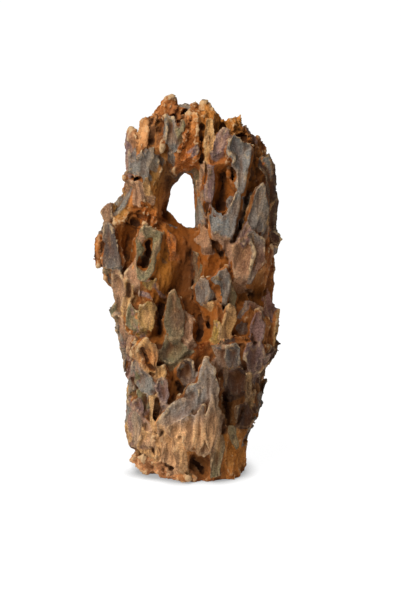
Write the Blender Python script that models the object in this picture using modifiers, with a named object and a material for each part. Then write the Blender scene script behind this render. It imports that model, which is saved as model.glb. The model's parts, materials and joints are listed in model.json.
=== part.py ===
"""An upright aquarium dragon stone with a swim-through hole, as one closed solid standing on a flat base.

The stone is drawn in millimetres. Limbs give its big masses, hollows and a hole are taken out of them, and
weathered plates are laid on the front, the sides and the back. A voxel remesh fuses all of it in one skin,
which is then cracked, warped and crumbled with noise, thinned to flat facets and cut off flat at the base.
"""

import math
import random

import bmesh
import bpy
from mathutils import Vector, noise
from mathutils.bvhtree import BVHTree

# Driving dimensions
STONE_HEIGHT = 0.250
DRAWN_HEIGHT = 250.0
SCALE = STONE_HEIGHT / DRAWN_HEIGHT
BELOW_BASE = -8.0

# Facets
BODY_VOXEL = 2.0
SKIN_VOXEL = 1.3
FACET_COUNT = 9200

# Limb sections: an outline of four superellipse arcs
FULLNESS = 2.4
ARC_STEPS = 7

# The front is drawn on an upright sheet, and carried back to the stone along lines that drop 1 in 4
SHEET_Y = -30.0
SIGHT_DROP = 0.25
SHEET_TO_MIDDLE = 34.0

# Relief
BODY_SHRINK = 2.0
FLUTE_DEPTH = 3.0
FLUTE_WIDTH = 9.0
FLUTE_HEIGHT = 26.0
PLATE_ROOT = 7.0
PLATE_UNDERCUT = 0.10
PLATE_CROWN = 0.8
PLATE_RIM = 1.4
WARP_SEED = 11
WARP_REACH = 2.0
WARP_SIZE = 8.0
CRUMBLE_SIZE = 9.0
CRUMBLE_DEPTH = 1.4
PLATE_CALM = 0.3
PLATE_SKIN = 1.0
GROOVE_WIDTH = 5.0
GROOVE_HEIGHT = 22.0
GROOVE_DEPTH = 0.8
SHARPEN_ROUNDS = 4
SHARPEN_GAIN = 0.5
SHARPEN_LIMIT = 1.5

# Plates on the sides and the back
SIDE_SEED = 5
SIDE_FIRST = 40
SIDE_LAST = 330
SIDE_STEP = 17
SIDE_RADIUS = 30.0
SIDE_TOP = 205.0

# Sections of each limb: height, left x, right x, left y, right y, front x, front y, back y
BELLY = [
    (BELOW_BASE, -36, 36, 4, -2, 9, -30, 29),
    (3, -37, 36, 4, -2, 9, -30, 30),
    (14, -35, 35, 4, -2, 9, -29, 29),
    (26, -39, 36, 4, -2, 10, -29, 28),
    (40, -40, 40, 4, 0, 11, -28, 28),
    (54, -38, 41, 4, 0, 12, -27, 27),
    (66, -41, 45, 4, 0, 13, -26, 27),
    (80, -43, 51, 4, 1, 14, -26, 27),
    (96, -45, 53, 5, 1, 15, -25, 27),
    (112, -48, 52, 6, 2, 15, -24, 27),
    (126, -48, 51, 6, 2, 15, -23, 26),
    (140, -46, 51, 7, 2, 15, -22, 26),
    (150, -40, 50, 7, 2, 15, -21, 25),
    (158, -30, 44, 7, 2, 14, -18, 22),
    (162, -14, 30, 7, 2, 10, -12, 16),
]
SHOULDER = [
    (122, -47, -30, 8, 8, -40, -6, 20),
    (131, -56, -28, 8, 8, -42, -8, 22),
    (142, -59, -26, 9, 9, -44, -9, 23),
    (154, -57, -26, 9, 9, -44, -9, 23),
    (166, -56, -28, 9, 9, -44, -7, 22),
    (175, -54, -30, 9, 9, -45, -5, 20),
    (180, -48, -34, 9, 9, -44, 0, 16),
]
LEFT_TOWER = [
    (138, -42, -12, 8, 4, -26, -14, 24),
    (155, -42, -12, 8, 4, -26, -13, 24),
    (166, -39, -14, 8, 4, -26, -11, 24),
    (180, -38, -15, 8, 4, -26, -9, 23),
    (192, -38, -13, 8, 4, -25, -9, 23),
    (205, -38, -9, 8, 4, -24, -9, 22),
    (215, -38, -5, 8, 4, -23, -10, 21),
    (222, -35, -6, 8, 4, -21, -10, 18),
    (229, -26, -9, 6, 4, -18, -9, 15),
    (236, -22, -11, 5, 4, -16, -7, 11),
    (242, -19, -13, 4, 4, -16, -4, 7),
]
RIGHT_TOWER = [
    (140, 4, 52, 0, 2, 18, -22, 26),
    (155, 5, 53, 0, 2, 18, -21, 26),
    (166, 6, 53, 0, 2, 18, -20, 26),
    (180, 5, 54, 0, 2, 18, -20, 25),
    (192, 4, 52, 0, 2, 18, -20, 23),
    (203, 3, 49, 0, 3, 18, -19, 20),
    (211, 2, 45, 0, 4, 18, -18, 17),
    (218, 2, 38, 0, 4, 17, -17, 15),
    (223, 4, 34, 0, 4, 18, -14, 12),
]
ARCH = [
    (198, -7, 7, 3, 1, 0, -12, 16),
    (206, -13, 12, 3, 1, 0, -15, 17),
    (216, -15, 14, 3, 1, 0, -16, 17),
    (225, -16, 17, 3, 1, 2, -15, 15),
    (232, -14, 15, 3, 1, 2, -12, 11),
    (236, -9, 13, 3, 2, 2, -7, 7),
]
RIGHT_PEAK = [
    (222, 4, 18, 0, 0, 11, -13, 11),
    (231, 7, 16, 0, 0, 11, -10, 7),
    (237, 9, 14, 0, 0, 11, -6, 4),
]
TOP_KNOB = [
    (216, 20, 38, 2, 2, 27, -14, 12),
    (225, 21, 34, 2, 2, 27, -11, 10),
    (230, 24, 33, 2, 2, 28, -6, 7),
]
LIMBS = [BELLY, SHOULDER, LEFT_TOWER, RIGHT_TOWER, ARCH, RIGHT_PEAK, TOP_KNOB]

# The swim-through hole on the sheet: its wide front mouth, its narrow throat and its back mouth
HOLE_FRONT = [(1, 201), (-7, 209), (-13, 213), (-17, 211), (-20, 202), (-22, 190), (-21, 179), (-17, 171),
              (-9, 163), (0, 157), (5, 164), (4, 178), (3, 190)]
HOLE_THROAT = [(0, 202), (-3, 204), (-5, 202), (-9, 196), (-12, 190), (-15, 184), (-15, 180), (-12, 176),
               (-8, 172), (-2, 168), (3, 167), (4, 178), (1, 191)]
HOLE_BACK = [(2, 200), (-2, 202), (-4, 201), (-8, 195), (-11, 190), (-13, 183), (-13, 178), (-10, 172),
             (-6, 166), (0, 161), (6, 163), (7, 176), (4, 190)]
HOLE_LAYERS = [(-60, HOLE_FRONT), (-12, HOLE_FRONT), (8, HOLE_THROAT), (26, HOLE_BACK), (60, HOLE_BACK)]

# Broad hollows pressed in the body before the plates: radius, depth, path on the sheet
HOLLOWS = {
    "valley under the hole": (18, 20, [(-4, 164), (-5, 140), (-4, 118)]),
    "rust hollow by the ring": (8, 6, [(-39, 160), (-38, 148)]),
    "slot beside the yellow plate": (6, 4, [(-20, 122), (-19, 96)]),
    "upper right channel": (7, 7, [(20, 205), (20, 182)]),
    "long right channel": (6, 5, [(36, 192), (31, 168), (27, 157)]),
    "hollow under the fork": (9, 6, [(12, 152), (23, 143)]),
    "right cave": (11, 7, [(33, 124), (48, 120)]),
    "hollow over the shelf": (8, 5, [(27, 104), (38, 100)]),
    "column hollow": (6, 4, [(12, 112), (10, 98)]),
    "umber hollow": (8, 4, [(27, 72), (28, 60)]),
    "lower right channel": (7, 6, [(22, 54), (22, 34)]),
    "dark right zone": (9, 4, [(38, 52), (38, 36)]),
    "hollow left of the great plate": (6, 4, [(-8, 68), (-4, 58)]),
    "base cave": (7, 9, [(1, 15), (8, 8)]),
    "foot of the valley": (6, 4, [(5, 128), (7, 100)]),
}

# Narrow channels and pits pressed in the finished skin: radius, depth, path on the sheet
CHANNELS = [
    (2.5, 4, [(-3, 242), (-8, 231)]),
    (3, 5, [(5, 230), (5, 209)]),
    (2.5, 4, [(-24, 237), (-24, 222)]),
    (3, 4, [(-38, 200), (-30, 196)]),
    (3.2, 5, [(-33, 170), (-32, 168)]),
    (3.4, 6, [(-26, 158), (-25, 146), (-31, 140)]),
    (3, 4, [(2, 146), (3, 114)]),
    (3, 4, [(20, 200), (20, 178)]),
    (2.8, 6, [(24, 212), (25, 198), (28, 193)]),
    (3, 4, [(36, 190), (31, 168), (27, 158)]),
    (3, 5, [(15, 160), (22, 148)]),
    (2.6, 5, [(11, 182), (12, 176)]),
    (3, 5, [(37, 126), (39, 124)]),
    (3, 5, [(12, 106), (13, 104)]),
    (2.6, 4, [(7, 107), (7, 94)]),
    (3, 4, [(21, 116), (23, 114)]),
    (2.2, 4, [(40, 93), (41, 92)]),
    (2.2, 3, [(-39, 133), (-38, 121)]),
    (4, 5, [(-19, 114), (-19, 97)]),
    (2, 5, [(-36, 79), (-40, 66)]),
    (2.6, 4, [(-29, 87), (-28, 85)]),
    (3, 4, [(-24, 77), (-22, 75)]),
    (2, 4, [(-26, 53), (-26, 43)]),
    (2.6, 4, [(-20, 51), (-18, 43)]),
    (3, 4, [(-8, 66), (-4, 58)]),
    (6, 8, [(2, 15), (9, 7)]),
    (3, 5, [(21, 57), (22, 55)]),
    (3.4, 5, [(22, 52), (22, 34)]),
    (2.2, 4, [(36, 45), (36, 43)]),
    (2.2, 4, [(31, 43), (31, 41)]),
    (2.5, 4, [(35, 31), (36, 29)]),
    (3, 4, [(-14, 11), (-12, 10)]),
    (2, 3, [(-56, 157), (-56, 144)]),
]

# Plates on the front: how far each stands proud, how far its foot leans out, how deep it is dished, and its
# outline on the sheet
PLATES = {
    "left peak": (2, 0, 1.5, [
        (-14, 257), (-12, 251), (-9, 247), (-13, 238), (-19, 236), (-22, 240), (-22, 246), (-19, 252)]),
    "right peak": (2, 0, 0, [
        (11, 252), (15, 245), (18, 242), (19, 235), (14, 231), (8, 234), (5, 240), (6, 247)]),
    "narrow plate": (2.5, 0, 0, [
        (-13, 239), (-8, 240), (-6, 234), (-7, 226), (-9, 219), (-11, 217), (-13, 220), (-14, 230)]),
    "throat face": (1, 0, 0, [
        (-11, 216), (-6, 215), (-6, 208), (-9, 206), (-11, 210)]),
    "arch tongue": (4, 1, 0, [
        (-9, 210), (-3, 214), (0, 209), (-1, 203), (-5, 199), (-10, 201), (-12, 206)]),
    "arch mass": (2, 0, 0, [
        (-6, 244), (4, 244), (4, 229), (3, 213), (0, 206), (-4, 212), (-5, 226)]),
    "left horn": (2.5, 0, 0, [
        (-40, 234), (-38, 234), (-36, 226), (-34, 212), (-34, 203), (-38, 202), (-40, 210), (-41, 219),
        (-41, 230)]),
    "left bump": (2.5, 0, 0, [
        (-34, 232), (-31, 238), (-26, 240), (-24, 236), (-26, 226), (-28, 218), (-33, 219), (-34, 224)]),
    "lumpy column": (2.5, 0, 0, [
        (-22, 240), (-19, 238), (-15, 239), (-14, 231), (-14, 222), (-18, 218), (-22, 220), (-23, 230)]),
    "streaked plate": (4, 2, 0, [
        (-34, 218), (-26, 219), (-20, 218), (-19, 209), (-22, 202), (-26, 198), (-31, 200), (-37, 198),
        (-40, 205), (-38, 212)]),
    "left ledge": (4, 0, 0, [
        (-42, 200), (-38, 202), (-35, 199), (-37, 195), (-42, 196)]),
    "rose plate": (4, 0, 0, [
        (-39, 197), (-28, 197), (-29, 187), (-33, 185), (-38, 183), (-40, 187)]),
    "seam ridge": (3.5, 0, 0, [
        (-28, 199), (-25, 199), (-24, 191), (-26, 186), (-29, 189)]),
    "ochre band": (2, 0, 0, [
        (-24, 202), (-19, 205), (-18, 196), (-19, 187), (-24, 186)]),
    "shoulder rose": (2.5, 0, 0, [
        (-55, 182), (-51, 186), (-49, 183), (-50, 174), (-55, 171), (-58, 178)]),
    "shoulder dish": (2, 0, 2, [
        (-49, 185), (-46, 187), (-41, 188), (-37, 184), (-38, 176), (-43, 171), (-49, 173)]),
    "shoulder plate": (5, 3, 0, [
        (-55, 171), (-50, 170), (-46, 165), (-45, 156), (-44, 143), (-49, 141), (-54, 143), (-56, 153),
        (-56, 165)]),
    "edge knobs": (2.5, 0, 0, [
        (-61, 160), (-58, 162), (-57, 158), (-57, 149), (-58, 141), (-61, 145), (-62, 153)]),
    "edge knob low": (2, 0, 0, [
        (-56, 140), (-50, 140), (-50, 133), (-55, 134)]),
    "ring": (6, 0, 2, [
        (-32, 165), (-27, 167), (-20, 166), (-18, 161), (-20, 153), (-23, 145), (-24, 137), (-28, 133),
        (-31, 136), (-33, 145), (-34, 156)]),
    "ring blade": (3.5, 0, 0, [
        (-36, 145), (-33, 144), (-31, 136), (-33, 128), (-36, 127), (-38, 133), (-38, 140)]),
    "valley lump": (3, 0, 0, [
        (-13, 166), (-9, 166), (-8, 156), (-10, 148), (-13, 149), (-14, 157)]),
    "hook plate": (7, 0, 0, [
        (26, 227), (31, 224), (36, 219), (38, 209), (38, 202), (36, 196), (31, 192), (27, 198), (26, 205),
        (27, 210), (24, 214), (25, 220)]),
    "left lobe": (5.5, 0, 0, [
        (24, 230), (26, 226), (22, 220), (20, 215), (17, 213), (15, 219), (17, 223), (20, 228)]),
    "overhang tongue": (5, 2, 0, [
        (15, 212), (18, 213), (22, 211), (22, 207), (15, 205), (13, 209)]),
    "slender plate": (3, 0, 0, [
        (29, 191), (33, 189), (32, 179), (27, 163), (26, 168), (28, 181)]),
    "forked plate": (5, 2, 0, [
        (13, 183), (15, 182), (17, 177), (20, 174), (24, 177), (27, 183), (33, 189), (32, 181), (29, 172),
        (27, 161), (24, 160), (20, 164), (15, 162), (13, 172)]),
    "wedge": (3, 0, 0, [
        (17, 161), (22, 158), (27, 160), (28, 152), (27, 144), (23, 145), (18, 153)]),
    "right plate": (5, 0, 0, [
        (45, 195), (48, 189), (49, 174), (46, 169), (38, 172), (38, 176), (40, 183), (43, 189)]),
    "right low plate": (3, 0, 0, [
        (38, 170), (45, 168), (45, 160), (42, 154), (37, 156), (36, 162)]),
    "big right plate": (6, 2, 0, [
        (27, 145), (30, 153), (36, 156), (42, 154), (47, 152), (47, 145), (43, 140), (40, 133), (36, 128),
        (32, 132), (29, 137), (26, 141)]),
    "inner edge": (1, 0, 0, [
        (1, 203), (4, 205), (6, 195), (4, 183), (2, 181), (1, 189), (0, 197)]),
    "inner face": (2, 0, 0, [
        (6, 207), (14, 205), (15, 193), (13, 183), (9, 177), (5, 181), (6, 193)]),
    "tan ridge": (3, 0, 0, [
        (7, 234), (11, 234), (11, 222), (10, 212), (7, 214), (6, 224)]),
    "upper face": (2, 0, 0, [
        (13, 234), (20, 236), (23, 232), (18, 226), (15, 219), (12, 215), (11, 224)]),
    "top knob": (2.5, 0, 0, [
        (21, 237), (25, 240), (31, 241), (35, 240), (35, 234), (33, 227), (29, 226), (26, 228), (23, 232)]),
    "right knob": (3, 0, 0, [
        (36, 233), (38, 231), (41, 226), (43, 226), (47, 224), (50, 218), (49, 209), (43, 206), (40, 212),
        (38, 222)]),
    "flank": (2.5, 0, 0, [
        (47, 209), (53, 207), (55, 196), (56, 183), (54, 168), (50, 165), (50, 176), (49, 189), (46, 197)]),
    "flank bump": (4, 0, 0, [
        (51, 165), (56, 166), (58, 162), (58, 157), (52, 156)]),
    "flank low": (2.5, 0, 0, [
        (50, 153), (56, 154), (55, 143), (54, 131), (50, 128), (48, 140)]),
    "drop lump": (3, 0, 0, [
        (8, 166), (11, 166), (13, 160), (11, 154), (9, 156)]),
    "small plate": (5, 0, 0, [
        (7, 133), (11, 131), (12, 124), (11, 120), (9, 117), (6, 117), (4, 125), (4, 129)]),
    "tailed plate": (6, 0, 0, [
        (13, 133), (17, 138), (22, 140), (24, 136), (25, 128), (24, 123), (23, 116), (21, 122), (18, 127),
        (15, 131)]),
    "right edge plate": (2.5, 0, 0, [
        (47, 123), (52, 124), (56, 117), (56, 106), (55, 98), (50, 99), (47, 108), (46, 117)]),
    "short column": (2.5, 0, 0, [
        (10, 117), (14, 118), (17, 116), (17, 106), (14, 96), (10, 98)]),
    "tan leaf": (5, 0, 0, [
        (24, 115), (27, 111), (29, 105), (26, 102), (23, 95), (18, 95), (20, 104), (22, 111)]),
    "grooved plate": (4.5, 0, 0, [
        (40, 112), (43, 111), (46, 103), (45, 92), (41, 90), (38, 96), (38, 106)]),
    "shelf": (7, 0, 0, [
        (18, 91), (23, 95), (31, 97), (38, 95), (38, 91), (31, 91), (24, 90), (19, 87)]),
    "right spike": (3, 0, 0, [
        (52, 94), (59, 91), (56, 86), (51, 86)]),
    "stepped edge": (2.5, 0, 0, [
        (46, 90), (55, 87), (53, 80), (49, 74), (43, 69), (41, 77), (43, 84)]),
    "rose ridges": (2.5, 0, 0, [
        (-49, 139), (-45, 140), (-41, 136), (-42, 127), (-46, 117), (-50, 119), (-50, 129)]),
    "rose rib": (3, 0, 0, [
        (-41, 132), (-38, 127), (-38, 117), (-42, 112), (-44, 116), (-43, 124)]),
    "left spike": (2.5, 0, 0, [
        (-53, 113), (-49, 118), (-47, 112), (-50, 108)]),
    "edge leaf": (2, 0, 0, [
        (-49, 112), (-44, 112), (-43, 102), (-44, 90), (-46, 90), (-47, 102)]),
    "olive leaf": (2.5, 0, 1, [
        (-39, 117), (-35, 115), (-34, 106), (-37, 99), (-40, 103), (-41, 111)]),
    "olive column": (1.5, 0, 0, [
        (-29, 131), (-20, 132), (-19, 123), (-21, 115), (-28, 115), (-30, 123)]),
    "yellow plate": (5.5, 0, 0, [
        (-31, 116), (-24, 119), (-22, 112), (-22, 104), (-26, 96), (-30, 98), (-33, 107)]),
    "green leaf": (5.5, 0, 0, [
        (-14, 119), (-11, 121), (-8, 118), (-6, 112), (-4, 106), (-1, 100), (-5, 95), (-11, 97), (-14, 100),
        (-15, 110)]),
    "leaf cap": (3, 0, 0, [
        (-16, 120), (-13, 126), (-8, 125), (-5, 119), (-8, 119), (-12, 121)]),
    "mauve blade": (3, 0, 0, [
        (-1, 112), (1, 111), (2, 100), (0, 92), (-3, 94), (-2, 103)]),
    "under leaf": (2, 0, 0, [
        (-13, 96), (-9, 95), (-4, 92), (0, 86), (-6, 82), (-11, 76), (-16, 77), (-17, 86)]),
    "ring lump": (5, 0, 0, [
        (-33, 90), (-27, 94), (-22, 91), (-20, 84), (-21, 75), (-26, 69), (-31, 70), (-35, 78), (-35, 84)]),
    "left low plate": (4.5, 0, 0, [
        (-45, 90), (-41, 92), (-36, 87), (-36, 79), (-39, 73), (-40, 66), (-43, 70), (-44, 79), (-46, 86)]),
    "small mauve": (2.5, 0, 0, [
        (-35, 78), (-31, 70), (-32, 61), (-36, 57), (-38, 63), (-36, 71)]),
    "green plate": (2.5, 0, 0, [
        (-31, 74), (-27, 70), (-24, 67), (-24, 59), (-28, 57), (-31, 61)]),
    "mauve leaf": (5, 0, 0, [
        (-22, 67), (-17, 69), (-13, 62), (-13, 54), (-16, 50), (-20, 55), (-23, 62)]),
    "long gray plate": (2.5, 0, 0, [
        (-41, 54), (-36, 55), (-33, 49), (-31, 38), (-32, 28), (-37, 24), (-40, 28), (-42, 41)]),
    "yellow rib": (3, 0, 0, [
        (-26, 57), (-23, 57), (-22, 46), (-22, 34), (-26, 34), (-27, 46)]),
    "umber dish": (2.5, 0, 2.5, [
        (-6, 80), (-1, 82), (4, 79), (6, 73), (3, 66), (-3, 65), (-8, 71)]),
    "great plate": (8, 0, 0, [
        (10, 83), (14, 77), (17, 69), (18, 62), (17, 57), (18, 51), (21, 42), (22, 36), (18, 33), (17, 28),
        (14, 20), (9, 17), (3, 21), (-3, 25), (-9, 28), (-14, 34), (-18, 38), (-21, 40), (-17, 46),
        (-11, 53), (-6, 57), (-3, 57), (0, 65), (4, 67), (6, 75)]),
    "long ridge": (5, 0, 0, [
        (-11, 37), (-6, 28), (-3, 20), (-1, 8), (-6, 8), (-8, 18), (-11, 27)]),
    "rose face": (3, 0, 0, [
        (14, 92), (20, 92), (24, 87), (23, 77), (18, 74), (15, 80)]),
    "dark slate": (5, 0, 0, [
        (25, 90), (31, 92), (33, 86), (32, 77), (27, 74), (24, 80)]),
    "umber face": (2, 0, 1.5, [
        (22, 75), (29, 75), (36, 70), (35, 59), (28, 55), (22, 59)]),
    "rimmed plate": (5, 0, 0, [
        (38, 91), (45, 90), (46, 82), (43, 74), (39, 71), (36, 78)]),
    "tan rib": (3, 0, 0, [
        (35, 73), (38, 71), (39, 62), (37, 53), (35, 54), (35, 63)]),
    "low bump": (3, 0, 0, [
        (41, 61), (46, 58), (47, 53), (43, 46), (40, 50)]),
    "orange lumps": (2.5, 0, 0, [
        (23, 33), (31, 36), (36, 30), (36, 20), (36, 9), (31, 3), (23, 3), (22, 14), (23, 24)]),
    "dark ridges": (2.5, 0, 0, [
        (15, 20), (18, 29), (21, 22), (20, 11), (19, 1), (14, 1), (13, 11)]),
    "low umber": (2, 0, 0, [
        (28, 53), (36, 51), (41, 45), (41, 38), (35, 36), (29, 38)]),
    "pitted tan": (1.5, 0, 0, [
        (-32, 36), (-26, 33), (-17, 34), (-14, 26), (-15, 16), (-22, 12), (-29, 14), (-33, 24)]),
    "base crumble": (2, 0, 0, [
        (-38, 12), (-35, 17), (-26, 14), (-15, 13), (-6, 9), (-1, 3), (-9, 3), (-19, 5), (-32, 7)]),
}


def section(row):
    """The closed outline of a limb at one height, as four arcs between its left, front, right and back."""
    height, left, right, left_y, right_y, front_x, front_y, back_y = row
    back_x = (left + right) / 2
    corners = [(left, left_y), (front_x, front_y), (right, right_y), (back_x, back_y)]
    middles = [(front_x, left_y), (front_x, right_y), (back_x, right_y), (back_x, left_y)]
    power = 2 / FULLNESS
    points = []
    for index, middle in enumerate(middles):
        start = corners[index]
        end = corners[(index + 1) % 4]
        for step in range(ARC_STEPS):
            angle = math.pi / 2 * step / ARC_STEPS
            away = math.cos(angle) ** power
            ahead = math.sin(angle) ** power
            x = middle[0] + (start[0] - middle[0]) * away + (end[0] - middle[0]) * ahead
            y = middle[1] + (start[1] - middle[1]) * away + (end[1] - middle[1]) * ahead
            points.append(Vector((x, y, height)))
    return points


def ring_edges(ring):
    """The edges that join the vertices of one ring."""
    chosen = set(ring)
    found = set()
    for vertex in ring:
        for edge in vertex.link_edges:
            if edge.other_vert(vertex) in chosen:
                found.add(edge)
    return list(found)


def add_loft(bm, outlines):
    """Bridge a stack of outlines with equal point counts, and close both ends."""
    rings = []
    for outline in outlines:
        made = bmesh.ops.create_circle(bm, segments=len(outline), radius=1.0)
        for vertex, point in zip(made["verts"], outline):
            vertex.co = point
        rings.append(made["verts"])
    for near, far in zip(rings, rings[1:]):
        bmesh.ops.bridge_loops(bm, edges=ring_edges(near) + ring_edges(far))
    for ring in (rings[0], rings[-1]):
        bmesh.ops.contextual_create(bm, geom=ring_edges(ring))
    bmesh.ops.recalc_face_normals(bm, faces=bm.faces)


def with_modifier(bm, kind, **values):
    """Give a bmesh one modifier, and return the evaluated result as a new bmesh."""
    mesh = bpy.data.meshes.new("work")
    bm.to_mesh(mesh)
    bm.free()
    holder = bpy.data.objects.new("work", mesh)
    bpy.context.scene.collection.objects.link(holder)
    modifier = holder.modifiers.new(kind.title(), kind)
    for name, value in values.items():
        setattr(modifier, name, value)
    graph = bpy.context.evaluated_depsgraph_get()
    result = bmesh.new()
    result.from_mesh(holder.evaluated_get(graph).to_mesh())
    bpy.data.objects.remove(holder)
    bpy.data.meshes.remove(mesh)
    result.normal_update()
    return result


def fused(bm, voxel):
    """Fuse every overlapping body of a bmesh in one skin of even quads."""
    return with_modifier(bm, "REMESH", mode="VOXEL", voxel_size=voxel)


def without(bm, cutter):
    """Cut one closed bmesh out of another."""
    mesh = bpy.data.meshes.new("cutter")
    cutter.to_mesh(mesh)
    cutter.free()
    tool = bpy.data.objects.new("cutter", mesh)
    bpy.context.scene.collection.objects.link(tool)
    result = with_modifier(bm, "BOOLEAN", operation="DIFFERENCE", object=tool, solver="EXACT")
    bpy.data.objects.remove(tool)
    bpy.data.meshes.remove(mesh)
    return result


def push_out(bm, moves):
    """Move each vertex by its own step, and refresh the normals."""
    for vertex, move in zip(bm.verts, moves):
        vertex.co += move
    bm.normal_update()


def from_sheet(x, height, y):
    """A point of the sheet, carried back to depth y."""
    return Vector((x, y, height - (y - SHEET_Y) * SIGHT_DROP))


def hole_cutter():
    """The swim-through hole: a slanting passage, wide in front, through its throat to the back."""
    bm = bmesh.new()
    add_loft(bm, [[from_sheet(x, height, y) for x, height in outline] for y, outline in HOLE_LAYERS])
    return bm


def path_gap(x, height, path):
    """How far a point of the sheet lies from a path on it."""
    point = Vector((x, height))
    gaps = []
    for first, last in zip(path, path[1:]):
        start = Vector(first)
        along = Vector(last) - start
        share = min(1.0, max(0.0, (point - start).dot(along) / along.length_squared))
        gaps.append((point - start - along * share).length)
    return min(gaps)


def press(bm, radius, depth, path):
    """Press a path into the front of the stone, deepest along its middle, with a ragged edge."""
    reach = radius * 1.5
    low_x = min(x for x, height in path) - reach
    high_x = max(x for x, height in path) + reach
    low = min(height for x, height in path) - reach
    high = max(height for x, height in path) + reach
    for vertex in bm.verts:
        drawn = vertex.co.z + (vertex.co.y - SHEET_Y) * SIGHT_DROP
        if vertex.normal.y > -0.1 or not (low_x < vertex.co.x < high_x and low < drawn < high):
            continue
        ragged = radius * 0.7 * noise.fractal(vertex.co / (radius * 1.3), 0.8, 2.0, 2)
        gap = max(0.0, path_gap(vertex.co.x, drawn, path) + ragged)
        if gap < radius:
            fall = 1 - (gap / radius) ** 2
            facing = min(1.0, -vertex.normal.y * 2)
            push = depth * fall * fall * facing
            vertex.co += Vector((0, push, -push * SIGHT_DROP))
    bm.normal_update()


def fit_depth(samples):
    """The slopes and the offset of the plane that lies closest to samples of across, height and depth."""
    count = len(samples)
    mean = [sum(sample[axis] for sample in samples) / count for axis in range(3)]
    gaps = [[sample[axis] - mean[axis] for axis in range(3)] for sample in samples]
    xx = sum(gap[0] * gap[0] for gap in gaps) + 1e-6
    yy = sum(gap[1] * gap[1] for gap in gaps) + 1e-6
    xy = sum(gap[0] * gap[1] for gap in gaps)
    xz = sum(gap[0] * gap[2] for gap in gaps)
    yz = sum(gap[1] * gap[2] for gap in gaps)
    det = xx * yy - xy * xy
    across_slope = max(-2.0, min(2.0, (xz * yy - yz * xy) / det))
    height_slope = max(-1.0, min(1.0, (yz * xx - xz * xy) / det))
    return across_slope, height_slope, mean[2] - across_slope * mean[0] - height_slope * mean[1]


def probe_depths(tree, frame, points, rim_depth):
    """Depths of the body behind points of a sheet, or of its nearest rim where the sheet looks past it."""
    origin, right, into = frame
    found = []
    for across, height in points:
        start = origin + right * across + Vector((0, 0, height))
        hit = tree.ray_cast(start - into * 80, into)[0]
        if hit is not None:
            found.append((across, height, (hit - start).dot(into)))
    if len(found) >= 4:
        return found
    if not rim_depth:
        return []
    found = []
    for across, height in points:
        start = origin + right * across + Vector((0, 0, height))
        near = tree.find_nearest(start + into * rim_depth)[0]
        found.append((across, height, (near - start).dot(into) - 2))
    return found


def lay_plate(bm, tree, frame, proud, lean, dish, outline, rim_depth=0.0):
    """Lay one plate on the body: carry its outline back, give it a root, a rim and a dish or a crown."""
    origin, right, into = frame
    middle_x = sum(x for x, height in outline) / len(outline)
    middle_h = sum(height for x, height in outline) / len(outline)
    halfway = [((x + middle_x) / 2, (height + middle_h) / 2) for x, height in outline]
    samples = probe_depths(tree, frame, outline + halfway + [(middle_x, middle_h)], rim_depth)
    if not samples:
        return
    across_slope, height_slope, offset = fit_depth(samples)
    heights = [height for x, height in outline]
    half_height = max(1.0, (max(heights) - min(heights)) / 2)
    centre_height = (max(heights) + min(heights)) / 2
    ring = []
    for across, height in outline:
        start = origin + right * across + Vector((0, 0, height))
        flat = across_slope * across + height_slope * height + offset
        depth = flat
        hit = tree.ray_cast(start - into * 80, into)[0]
        if hit is not None:
            depth += max(-2.0, min(2.0, ((hit - start).dot(into) - flat) / 2))
        depth -= proud - lean * (height - centre_height) / half_height
        ring.append(bm.verts.new(start + into * depth))
    back = bm.faces.new(ring)
    back.normal_update()
    if back.normal.dot(into) > 0:
        back.normal_flip()
    middle = back.calc_center_median()
    made = bmesh.ops.extrude_face_region(bm, geom=[back])
    for vertex in ring:
        vertex.co += into * (proud + PLATE_ROOT) + (middle - vertex.co) * PLATE_UNDERCUT
    front = [item for item in made["geom"] if isinstance(item, bmesh.types.BMFace)][0]
    edge = list(front.verts)
    rim = min(PLATE_RIM, 0.12 * math.sqrt(front.calc_area()))
    bmesh.ops.inset_region(bm, faces=[front], thickness=rim, depth=0.0, use_even_offset=True)
    for vertex in edge:
        vertex.co += into * rim * 0.8
    if dish:
        bmesh.ops.inset_region(bm, faces=[front], thickness=rim, depth=0.0, use_even_offset=True)
        for vertex in front.verts:
            vertex.co += into * dish
    else:
        for vertex in bmesh.ops.poke(bm, faces=[front])["verts"]:
            vertex.co -= into * PLATE_CROWN


def front_plates(bm, tree):
    """The plates that are drawn one by one on the front sheet."""
    into = Vector((0, 1, -SIGHT_DROP)).normalized()
    frame = (Vector((0, SHEET_Y, 0)), Vector((1, 0, 0)), into)
    for proud, lean, dish, outline in PLATES.values():
        lay_plate(bm, tree, frame, proud + BODY_SHRINK, lean, dish, outline, SHEET_TO_MIDDLE)


def side_plates(bm, tree):
    """Irregular plates in upright columns, round the sides and the back."""
    picker = random.Random(SIDE_SEED)
    for turn in range(SIDE_FIRST, SIDE_LAST, SIDE_STEP):
        azimuth = math.radians(turn)
        into = Vector((-math.sin(azimuth), math.cos(azimuth), 0))
        right = Vector((math.cos(azimuth), math.sin(azimuth), 0))
        frame = (-into * SIDE_RADIUS, right, into)
        height = 8 + picker.uniform(0, 14)
        while height < SIDE_TOP:
            tall = picker.uniform(12, 26)
            wide = picker.uniform(5, 10)
            shift = picker.uniform(-6, 6)
            sides = picker.choice([7, 8, 9])
            outline = []
            for corner in range(sides):
                angle = 2 * math.pi * corner / sides + picker.uniform(-0.2, 0.2)
                reach = picker.uniform(0.75, 1.1)
                x = shift + wide * reach * math.sin(angle)
                outline.append((x, height + tall / 2 * (1 + reach * math.cos(angle))))
            proud = picker.uniform(1.5, 4.0)
            lay_plate(bm, tree, frame, proud, picker.uniform(-1, 2), 0, outline)
            height += tall + picker.uniform(1, 7)


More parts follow.
